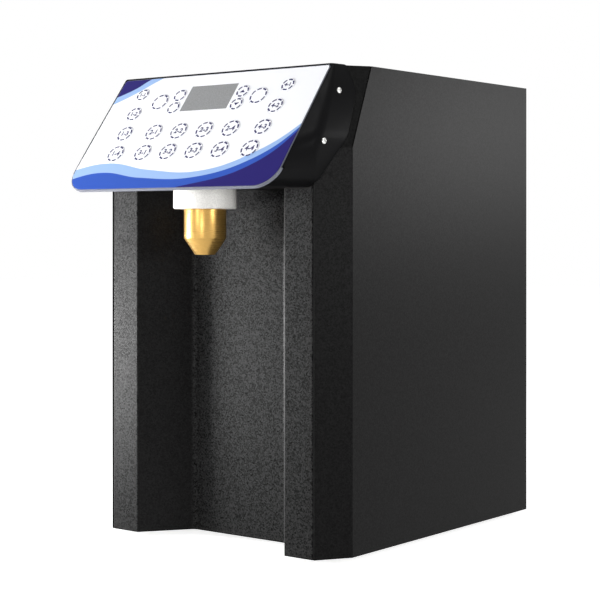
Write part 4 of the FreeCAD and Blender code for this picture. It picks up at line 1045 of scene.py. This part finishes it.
@dataclass(frozen=True)
class Head:
    """The moulded control head that stands out in front of the casing.

    Its plan changes with the height. At each of its levels, halves gives half
    its width, corners half the width between its front corners, and bevels how
    far back of the panel's plane those corners lie.
    """

    panel: Panel = Panel()
    screw: Screw = Screw(2.9, 1.9, 1.6, 7.0)
    top: float = 436.0
    crown_radius: float = 1.6
    edge_radius: float = 1.2
    cheek_radius: float = 22.0
    easing: float = 7.0
    levels: tuple[float, ...] = (327.0, 368.0, 413.0, 436.0)
    halves: tuple[float, ...] = (121.2, 137.0, 137.0, 128.0)
    corners: tuple[float, ...] = (121.2, 137.0, 130.2, 125.8)
    bevels: tuple[float, ...] = (61.4, 15.0, 7.5, 1.5)
    front_half: float = 124.4
    under_radius: float = 8.0
    wall: float = 2.5
    plate_depth: float = 3.4
    plate_seam: float = 0.8
    plate_corners: Point = (22.0, 3.0)
    seat_ledge: float = 8.0
    casing_half: Point = (140.5, 121.2)
    casing_depth: float = 333.0
    chamfer_depth: float = 29.8
    bay: tuple[Point, ...] = ((88.4, 0.0), (55.6, 44.7))
    bay_radius: float = 8.0
    bay_top: float = 340.0
    lean_start: float = 362.0
    lean_back: float = 28.6
    lean_height: float = 73.0
    rear_step: float = 3.0
    seam: float = 0.3
    neck: Point = (-4.0, 15.3)
    beyond: float = 15.0
    ring_count: int = 56

    def build(self) -> None:
        """Moulds the shell and fits its screws."""
        shell = finished(self.shell(), "head_shell", HEAD_ABS.material(), 32.0)
        add_piece(shell, CASING, ("control_housing",))
        self.screw.fit("side_screws", "bright_screws", self.outward)

    def outward(self, middle: Vector) -> Vector:
        """Which way the screw at a place on a cheek looks."""
        return Vector((math.copysign(1, middle.x), 0, 0))

    def slope(self, z: float) -> float:
        """How far back the panel's plane lies at a height."""
        rise = z - self.panel.bottom_mm
        return rise * self.panel.run_mm / self.panel.rise_mm - self.panel.reach_mm

    def eased(self, z: float, values: Sequence[float]) -> float:
        """A size of the head at a height, without kinks where its change bends.

        Args:
            z: The height.
            values: The size at each of the head's levels.

        Returns:
            The size there.
        """
        total = 0.0
        steps = (-1.0, -0.5, 0.0, 0.5, 1.0)
        for step in steps:
            at = z + step * self.easing
            index = sum(at > level for level in self.levels[1:-1])
            low, high = self.levels[index : index + 2]
            share = (at - low) / (high - low)
            total += values[index] + (values[index + 1] - values[index]) * share
        return total / len(steps)

    def ring(self, z: float, inset: float, front_inset: float) -> list[Place]:
        """The head's plan at a height.

        Args:
            z: The height.
            inset: How far the sides are drawn in.
            front_inset: How far the front is drawn in.

        Returns:
            The plan's points, counter-clockwise from the middle of the front.
        """
        rise = z - self.panel.bottom_mm
        half = self.eased(z, self.halves)
        front = self.slope(z)
        corner = front + self.eased(z, self.bevels)
        rear = max(z - self.lean_start, 0.0) * self.lean_back / self.lean_height
        run = self.chamfer_depth / (self.casing_half[0] - self.casing_half[1])
        rear = max(rear + (half - self.casing_half[1]) * run, corner) + self.rear_step
        crown_in = 0.0 if inset else self.quarter(self.crown_radius, self.top - z)
        side_in = self.quarter(self.under_radius, rise) + crown_in + inset
        plate_rise = rise / math.sin(self.panel.angle()) + self.plate_seam
        plate_in = self.quarter(self.plate_corners[0] + self.plate_seam, plate_rise)
        front += front_inset
        corners = [
            (0.0, front),
            (self.front_half - plate_in - side_in, front),
            (self.eased(z, self.corners) - side_in, max(corner + inset, front)),
            (half - side_in, rear + inset),
            (half - side_in, self.bay[1][1] + self.lean_back + self.beyond + inset),
        ]
        right = rounded(corners, [self.edge_radius, self.cheek_radius, self.edge_radius])
        left = [(-x, y) for x, y in right[:0:-1]]
        return [(x, y, z) for x, y in right + left]

    def quarter(self, radius: float, rise: float) -> float:
        """How far a rounded edge is drawn in at a height above its foot."""
        left = max(radius - rise, 0.0)
        return radius - math.sqrt(radius**2 - left**2)

    def solid(self, inset: float, front_inset: float) -> Shape:
        """The head's outer form, or its hollow when it is drawn in.

        Args:
            inset: How far the sides, the foot and the top are drawn in.
            front_inset: How far the front is drawn in.

        Returns:
            The closed form, in millimetres.
        """
        low, high = self.panel.bottom_mm + inset, self.top - inset
        shares = [step / self.ring_count for step in range(self.ring_count + 1)]
        levels = [low + (high - low) * (1 - math.cos(math.pi * share)) / 2 for share in shares]
        return stack([self.ring(z, inset, front_inset) for z in levels])

    def casing_space(self) -> list[Shape]:
        """The space of the casing behind the head, with the cup bay left out."""
        (wide, flat), back, seam = self.casing_half, self.casing_depth, self.seam
        right = [(flat, 0.0), (wide, self.chamfer_depth), (wide, back)]
        left = [(-x, y) for x, y in right[::-1]]
        mouth, wall = self.bay
        bend = rounded([mouth, wall, (0.0, wall[1])], [self.bay_radius])[1:-1]
        bay = [(-x, y) for x, y in [mouth, *bend]] + [(x, y) for x, y in [mouth, *bend]][::-1]
        low, top = self.panel.bottom_mm - self.beyond, self.top + self.beyond
        lean = self.lean_back * (top - self.lean_start) / self.lean_height
        whole = offset(right + left, seam)
        return [
            prism(offset(right + left + bay, seam), low, self.bay_top),
            prism(whole, self.bay_top, self.lean_start),
            prism(whole, self.lean_start, top, lean=lean),
        ]

    def shell(self) -> Shape:
        """Hollows the head and cuts its seat, its mouth and its holes.

        Returns:
            The shell, in metres.
        """
        front_wall = (self.plate_depth + self.wall) / math.sin(self.panel.angle())
        cutters = [self.solid(self.wall, front_wall)]
        for grow, depth in ((self.plate_seam, 0.0), (-self.seat_ledge, self.wall + self.seam)):
            cutters.append(self.plate_space(grow, depth))
        cutters += self.casing_space()
        y, radius = self.neck
        low = self.panel.bottom_mm
        cutters.append(prism(circle(radius, (0.0, y)), low - self.wall, low + 2 * self.wall))
        for low, high in islands("side_screws"):
            cutters.append(self.bored(low, high, self.screw.head_radius + self.seam, 0.0))
            cutters.append(self.bored(low, high, self.screw.radius + self.seam, -self.beyond))
        shape = self.solid(0.0, 0.0)
        for cutter in cutters:
            shape = carved(shape, [cutter])
        return moved(shape, TO_ROW)

    def plate_space(self, grow: float, depth: float) -> Shape:
        """The room for the key plate, put onto the slope.

        Args:
            grow: How much wider than the plate it is on each side.
            depth: How far it goes beyond the plate's back.

        Returns:
            The shape, in millimetres.
        """
        half, top = self.panel.half_mm + grow, self.panel.length_mm + grow
        corners = [(0.0, -grow), (half, -grow), (half, top), (0.0, top)]
        right = rounded(corners, self.plate_corners)
        outline = right + [(-x, y) for x, y in right[-2:0:-1]]
        slab = prism(outline, -self.plate_depth - depth, self.wall)
        place = Matrix.Translation((0.0, -self.panel.reach_mm, self.panel.bottom_mm))
        return moved(slab, place @ Matrix.Rotation(self.panel.angle(), 4, "X"))

    def bored(self, low: Vector, high: Vector, radius: float, start: float) -> Shape:
        """A round hole in a cheek, on a screw's axis.

        Args:
            low: The lowest corner of the screw's box, in metres.
            high: Its highest corner.
            radius: The hole's radius.
            start: Where it starts, outwards from the screw's seat.

        Returns:
            The hole's shape, in millimetres.
        """
        middle = TO_ROW.inverted() @ ((low + high) / 2)
        side = math.copysign(1.0, middle.x)
        seat = max(abs(low.x), abs(high.x)) / MM - self.screw.head_height
        place = Matrix.Translation((side * seat, middle.y, middle.z))
        turn = Matrix.Rotation(side * math.pi / 2, 4, "Y")
        return moved(prism(circle(radius), start, self.beyond), place @ turn)


class Arrow(Enum):
    """Which way a key's arrow points."""

    UP = 1
    DOWN = -1


@dataclass(frozen=True)
class KeyPanel:
    """The sloping key panel: plate, printed film, keys, display and board."""

    panel: Panel = Panel()
    line: float = 1.6
    dash: float = 5.2
    dash_gap: float = 1.9
    dash_steps: int = 5
    ring_inset: float = 0.35
    ink: float = 0.05
    letter_share: float = 0.8
    arrow_share: float = 0.42
    arrow_ends: Point = (-0.5, 0.6)
    arrows: tuple[tuple[str, Arrow], ...] = (("key_up", Arrow.UP), ("key_down", Arrow.DOWN))
    waves: tuple[Wave, ...] = (
        Wave(Tone.LIGHT_BLUE, ((-124, 24), (-84, 31), (-30, 22), (34, 19), (86, 38), (124, 70))),
        Wave(Tone.MID_BLUE, ((-124, 12), (-88, 20), (-36, 13), (30, 12), (84, 29), (124, 66))),
        Wave(Tone.NAVY, ((-124, -9), (-90, -4), (-40, -5), (24, 3), (82, 20), (124, 63))),
        Wave(Tone.LIGHT_BLUE, ((-124, 104), (-100, 117), (-78, 132), (-70, 150), (124, 150)), True),
        Wave(Tone.NAVY, ((-124, 113), (-104, 123), (-84, 136), (-76, 150), (124, 150)), True),
    )

    def build(self) -> None:
        """Dresses the plate and what it carries, and prints the keys."""
        film = PrintedFilm(
            "Printed polyester film",
            Tone.FILM_WHITE,
            0.3,
            specular=0.06,
            panel=self.panel,
            waves=self.waves,
        )
        nodes = (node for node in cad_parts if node.startswith("key_"))
        keys = sorted(node for node in nodes if node != "key_switches")
        dress(film.material(), "keypad_overlay", *keys)
        dress(PLATE_ABS.material(), "panel_plate")
        dress(WINDOW.material(), "display_window")
        dress(MODULE.material(), "display_module", "key_switches")
        dress(BOARD.material(), "control_board")
        arrows = dict(self.arrows)
        for key in keys:
            self.print_key(key, arrows.get(key))

    def print_key(self, key: str, arrow: Arrow | None) -> None:
        """Prints a dashed ring on a key, with its number or arrow.

        Args:
            key: The key's node.
            arrow: Its arrow, if it has one.
        """
        spot, radius = self.spot(key)
        marks = [self.ring(radius - self.ring_inset)]
        number = key.removeprefix("key_").replace("_", "-")
        if number[0].isdigit():
            marks.append(lettering(number, self.letter_share * radius, self.ink))
        if arrow:
            marks.append(self.arrow(arrow, radius * self.arrow_share))
        place = self.panel.matrix() @ Matrix.Translation(spot) @ Matrix.Scale(MM, 4)
        made = finished(moved(joined(marks), place), key + "_print", INK.material())
        add_piece(made, key + "_body")

    def spot(self, key: str) -> tuple[Vector, float]:
        """Where a key's disc lies.

        Args:
            key: The key's node.

        Returns:
            The middle of its top on the panel, in metres, and its flat radius in millimetres.
        """
        back = self.panel.matrix().inverted()
        places = [back @ vert.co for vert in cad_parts[key].data.vertices]
        top = max(place.z for place in places)
        rim = [place for place in places if place.z > top - self.ink * MM]
        u, v = ([place[k] for place in rim] for k in (0, 1))
        middle = Vector(((max(u) + min(u)) / 2, (max(v) + min(v)) / 2, top))
        return middle, (max(u) - min(u)) / 2 / MM

    def ring(self, radius: float) -> Shape:
        """A thin dashed ring round the origin.

        Args:
            radius: Its outer radius.

        Returns:
            The ring, in millimetres.
        """
        count = round(math.tau * radius / (self.dash + self.dash_gap))
        reach = math.tau / count * self.dash / (self.dash + self.dash_gap)
        bm = bmesh.new()
        for index in range(count):
            start = math.tau * index / count
            shares = [step / self.dash_steps for step in range(self.dash_steps + 1)]
            outer, inner = (
                [(r * math.cos(start + reach * s), r * math.sin(start + reach * s)) for s in shares]
                for r in (radius, radius - self.line)
            )
            prism(outer + inner[::-1], -self.ink / 2, self.ink / 2, bm)
        return bm

    def arrow(self, way: Arrow, size: float) -> Shape:
        """A filled arrow head.

        Args:
            way: Which way it points.
            size: Its half width.

        Returns:
            The arrow, in millimetres.
        """
        low, high = (end * size for end in self.arrow_ends)
        corners = [(-size, low), (size, low), (0.0, high)]
        if way is Arrow.DOWN:
            corners = [(-x, -y) for x, y in corners]
        return prism(corners, -self.ink / 2, self.ink / 2)


@dataclass(frozen=True)
class Nozzle:
    """The brass nozzle screwed into its white collar, with its drip valve.

    A profile gives the radius and the height of each of its points. The thread
    goes up from its foot between a ridge's and a groove's radius.
    """

    collar: tuple[Point, ...] = (
        (3.0, 321.6), (13.1, 321.6), (13.1, 309.3), (27.4, 309.3), (28.3, 309.7), (28.8, 310.7),
        (28.8, 327.0), (15.0, 327.0), (15.0, 334.6), (14.6, 335.0), (4.0, 335.0), (4.0, 352.4),
        (3.6, 353.0), (3.0, 353.0), (3.0, 321.6),
    )
    body: tuple[Point, ...] = (
        (4.5, 267.9), (9.1, 267.9), (9.4, 268.2), (19.05, 282.7), (19.2, 283.1), (19.2, 308.7),
        (18.7, 309.3), (13.0, 309.3),
    )
    hollow: tuple[Point, ...] = (
        (12.6, 321.3), (7.0, 321.3), (7.0, 275.9), (4.5, 275.9), (4.5, 267.9),
    )
    thread: Point = (13.0, 12.3)
    thread_foot: float = 310.2
    thread_step: float = 0.7
    thread_edges: int = 14
    spring_radius: float = 4.3
    wire_radius: float = 0.45
    turns: int = 7
    turn_steps: int = 24

    def build(self) -> None:
        """Turns the collar and the nozzle and fits the valve."""
        low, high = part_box("nozzle_body")
        axis = (low + high) / 2
        collar = finished(lathe(self.collar, axis), "turned_collar", ACETAL.material())
        add_piece(collar, CASING, ("nozzle_collar",))
        brass = replace(BRASS, axis=axis).material()
        body = finished(lathe(self.turned(), axis), "turned_nozzle", brass, 25.0)
        add_piece(body, CASING, ("nozzle_body",))
        dress(NICKEL.material(), "valve_ball")
        self.wind_spring(axis)

    def turned(self) -> list[Point]:
        """The nozzle's whole profile, with its thread.

        Returns:
            The profile's points, round from the mouth of the bore to the same place.
        """
        edges = range(self.thread_edges)
        thread = [(self.thread[k % 2], self.thread_foot + k * self.thread_step) for k in edges]
        return [*self.body, *thread, *self.hollow]

    def wind_spring(self, axis: Vector) -> None:
        """Winds the valve's spring at the length of its solid; the real one shortens as the ball
        moves down.

        Args:
            axis: A point on the nozzle's axis, in metres.
        """
        low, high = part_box("valve_spring")
        wire = self.wire_radius * MM
        steps = self.turns * self.turn_steps
        rise = (high.z - low.z - 2 * wire) / steps
        bm = bmesh.new()
        start = Matrix.Translation((axis.x + self.spring_radius * MM, axis.y, low.z + wire))
        upright = start @ Matrix.Rotation(math.pi / 2, 4, "X")
        bmesh.ops.create_circle(bm, cap_ends=False, radius=wire, segments=12, matrix=upright)
        bmesh.ops.spin(
            bm,
            geom=bm.verts[:] + bm.edges[:],
            cent=axis,
            axis=(0.0, 0.0, 1.0),
            dvec=(0.0, 0.0, rise),
            angle=self.turns * math.tau,
            steps=steps,
            use_duplicate=False,
        )
        bmesh.ops.holes_fill(bm, edges=bm.edges, sides=0)
        spring = finished(bm, "wound_spring", NICKEL.material(), 60.0)
        add_piece(spring, CASING, ("valve_spring",))
        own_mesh(spring)


@dataclass(frozen=True)
class Tank:
    """The syrup tank with its lid, jacket, heater and probe.

    A profile gives the radius and the height of each of its points.
    """

    lid: tuple[Point, ...] = (
        (2.25, 440.3), (80.6, 440.3), (80.6, 436.8), (81.5, 436.8), (81.8, 437.2), (81.8, 441.0),
        (81.4, 441.5), (76.0, 441.8), (60.0, 442.3), (40.0, 442.7), (20.0, 442.95), (8.0, 443.0),
        (2.25, 443.0), (2.25, 440.3),
    )
    knob: tuple[Point, ...] = (
        (0.0, 440.3), (2.0, 440.3), (2.0, 443.0), (8.0, 443.0), (8.0, 443.6), (7.2, 445.2),
        (7.3, 446.6), (8.6, 447.7), (12.5, 448.1), (14.2, 448.8), (15.0, 450.4), (15.0, 453.4),
        (14.5, 454.9), (13.0, 455.8), (11.0, 456.0), (8.0, 455.7), (0.0, 455.4),
    )

    def build(self) -> None:
        """Turns the lid and the knob and dresses the tank."""
        low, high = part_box("lid_knob")
        axis = (low + high) / 2
        steel = replace(STAINLESS, name="Spun stainless steel", axis=axis).material()
        lid = finished(lathe(self.lid, axis), "spun_lid", steel)
        add_piece(lid, "lid", ("tank_lid",))
        knob = finished(lathe(self.knob, axis), "turned_knob", PHENOLIC.material(), 50.0)
        add_piece(knob, "lid", ("lid_knob",))
        dress(steel, "syrup_tank")
        dress(FOAM.material(), "tank_jacket")
        dress(HEATER.material(), "tank_heater")
        dress(NICKEL.material(), "temperature_probe")


@dataclass(frozen=True)
class Pump:
    """The gear pump with its motor and its hoses."""

    def build(self) -> None:
        """Dresses castings, gears, motor and hoses."""
        dress(CAST_BRASS.material(), "pump_body", "pump_cover")
        dress(GEAR_STEEL.material(), "drive_gear", "driven_gear")
        dress(ZINC_PLATE.material(), "pump_motor")
        dress(HOSE.material(), "suction_hose", "outlet_hose")


@dataclass(frozen=True)
class MainsSide:
    """The power supply and the inlet module with its fuse drawer and rocker."""

    skin: float = 1.0
    block_reach: float = 12.6
    pin_half: float = 8.5
    pin_depths: Point = (6.9, 17.9)
    pin_foot: float = 10.0
    pin_share: float = 0.36
    bar: Point = (0.35, 1.7)
    ring: Point = (1.3, 1.9)
    ink: float = 0.05
    half_area: float = 20.0

    def build(self) -> None:
        """Dresses the supply, the inlet, the drawer and the rocker."""
        dress(ALUMINIUM.material(), "power_supply")
        dress(INLET.material(), "power_inlet", "fuse_drawer", "power_rocker")
        dress_faces("power_supply", MODULE.material(), self.on_block)
        dress_faces("power_inlet", NICKEL.material(), self.on_pin)
        self.mark_rocker()

    def on_block(self, from_low: Vector, from_high: Vector) -> bool:
        """Says whether a face of the power supply is on its terminal block.

        Args:
            from_low: How far it lies from the lowest corner of the supply's box.
            from_high: How far it lies from the highest corner.

        Returns:
            Whether it is.
        """
        return self.skin < from_low.y < self.block_reach and from_low.z > self.skin

    def on_pin(self, from_low: Vector, from_high: Vector) -> bool:
        """Says whether a face of the inlet is on one of its three pins.

        Args:
            from_low: How far it lies from the lowest corner of the inlet's box.
            from_high: How far it lies from the highest corner.

        Returns:
            Whether it is.
        """
        near, far = self.pin_depths
        central = abs(from_low.x - from_high.x) / 2 < self.pin_half
        top = self.pin_share * (from_low.z + from_high.z)
        return central and near < from_high.y < far and self.pin_foot < from_low.z < top

    def mark_rocker(self) -> None:
        """Prints a bar on the rocker's upper half and a ring on its lower half."""
        low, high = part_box("power_rocker")
        inner, outer = self.ring
        foot, top = -self.ink / 2, self.ink / 2
        section = [(inner, foot), (outer, foot), (outer, top), (inner, top), (inner, foot)]
        ring = moved(lathe(section, Vector(), 48), Matrix.Scale(1 / MM, 4))
        bar = prism(rounded_box(self.bar, (0.0, 0.0), self.bar[0] / 2, 2), foot, top)
        faces_out = [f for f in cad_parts["power_rocker"].data.polygons if f.normal.y > 0.5]
        wide = [face for face in faces_out if face.area > self.half_area * MM**2]
        marks = []
        for mark, side in ((bar, 1.0), (ring, -1.0)):
            faces = [face for face in wide if (face.center.z - (low.z + high.z) / 2) * side > 0]
            total = sum(face.area for face in faces)
            spot = sum((face.center * face.area for face in faces), Vector()) / total
            turn = Matrix.Rotation(-math.atan2(faces[0].normal.y, faces[0].normal.z), 4, "X")
            marks.append(moved(mark, Matrix.Translation(spot) @ turn @ Matrix.Scale(MM, 4)))
        made = finished(joined(marks), "rocker_marks", MARK_INK.material())
        add_piece(made, "rocker")


@dataclass(frozen=True)
class Lamp:
    """A large soft lamp."""

    name: str
    place: Place
    aim: Place
    size: Point
    watts: float

    def build(self) -> None:
        """Hangs the lamp and turns it to what it lights."""
        data = bpy.data.lights.new(self.name, "AREA")
        data.shape = "RECTANGLE"
        data.size, data.size_y = self.size
        data.energy = self.watts
        lamp = bpy.data.objects.new(self.name, data)
        lamp.location = self.place
        lamp.visible_camera = False
        way = Vector(self.aim) - Vector(self.place)
        lamp.rotation_euler = way.to_track_quat("-Z", "Y").to_euler()
        bpy.context.scene.collection.objects.link(lamp)


@dataclass(frozen=True)
class Studio:
    """A white room with soft lamps, and the camera of the photograph."""

    azimuth: float = 37.8
    lens: float = 94.11
    shift: float = -0.1155
    stand: Place = (0.9406, -1.0762, 0.2896)
    floor_size: float = 12.0
    floor_glow: float = 0.84
    air: float = 0.2
    lamps: tuple[Lamp, ...] = (
        Lamp("key", (-0.85, -0.6, 0.12), (-0.1, -0.12, 0.14), (0.3, 0.22), 15.5),
        Lamp("high_key", (-0.62, -0.68, 0.42), (-0.08, -0.12, 0.3), (0.2, 0.2), 3.2),
        Lamp("front", (-0.02, -1.6, 0.3), (0.0, -0.14, 0.29), (0.2, 0.4), 3.3),
        Lamp("low_right", (0.5, -1.3, 0.07), (0.0, -0.14, 0.28), (0.25, 0.2), 2.7),
        Lamp("right", (1.2, -0.3, 0.34), (0.13, -0.1, 0.24), (0.2, 0.2), 3.2),
        Lamp("high_right", (0.76, -0.3, 1.2), (0.12, -0.14, 0.4), (0.25, 0.25), 3.6),
        Lamp("side", (1.0, 1.35, 0.5), (0.1, 0.0, 0.25), (0.4, 0.3), 5.5),
    )

    def build(self) -> None:
        """Sets floor, air, lamps and camera."""
        self.lay_floor()
        self.fill_air()
        for lamp in self.lamps:
            lamp.build()
        camera = bpy.data.objects.new("camera", bpy.data.cameras.new("camera"))
        camera.data.lens = self.lens
        camera.data.shift_y = self.shift
        x, y, z = self.stand
        camera.location = (x, FRONT + y, z)
        camera.rotation_euler = (math.pi / 2, 0.0, math.radians(self.azimuth))
        bpy.context.scene.collection.objects.link(camera)
        bpy.context.scene.camera = camera
        bpy.context.scene.view_settings.view_transform = "Standard"

    def seen(self, tree: Tree) -> Socket:
        """Says whether a ray comes from the camera, a reflection or clear plastic.

        Args:
            tree: The node tree.

        Returns:
            One for such a ray, and zero for any other.
        """
        rays = add_node(tree, "LightPath").outputs
        seen = rays["Is Camera Ray"]
        for kind in ("Is Glossy Ray", "Is Transmission Ray"):
            either = add_node(tree, "Math", {"operation": "MAXIMUM"}, {0: seen, 1: rays[kind]})
            seen = either.outputs[0]
        return seen

    def lay_floor(self) -> None:
        """Lays a pale floor that keeps the shadow under the casing."""
        material = bpy.data.materials.new("Studio floor")
        material.use_nodes = True
        tree = material.node_tree
        shader = tree.nodes["Principled BSDF"]
        matt = {
            "Base Color": linear(Tone.FLOOR_WHITE),
            "Roughness": 1.0,
            "Specular IOR Level": 0.0,
            "Emission Color": (1.0, 1.0, 1.0, 1.0),
        }
        set_inputs(shader, matt)
        settings = {"operation": "MULTIPLY", 1: self.floor_glow}
        glow = add_node(tree, "Math", settings, {0: self.seen(tree)})
        tree.links.new(glow.outputs[0], shader.inputs["Emission Strength"])
        half = self.floor_size / 2
        bm = bmesh.new()
        corners = ((-half, -half), (half, -half), (half, half), (-half, half))
        bm.faces.new([bm.verts.new((x, y, 0.0)) for x, y in corners])
        finished(bm, "floor", material)

    def fill_air(self) -> None:
        """Fills the room with even light, white where it is seen."""
        world = bpy.data.worlds.new("air")
        world.use_nodes = True
        tree = world.node_tree
        background = tree.nodes["Background"]
        background.inputs["Color"].default_value = (1.0, 1.0, 1.0, 1.0)
        settings = {"To Min": self.air, "To Max": 1.0}
        level = add_node(tree, "MapRange", settings, {"Value": self.seen(tree)})
        tree.links.new(level.outputs["Result"], background.inputs["Strength"])
        bpy.context.scene.world = world


def main() -> None:
    """Builds every sub-assembly in order and reports each piece."""
    logging.basicConfig(level=logging.INFO, format="%(name)s: %(message)s")
    for part in (Studio(), Casing(), Head(), KeyPanel(), Nozzle(), Tank(), Pump(), MainsSide()):
        part.build()
        log.info("%s is built", type(part).__name__)


if __name__ == "__main__":
    main()
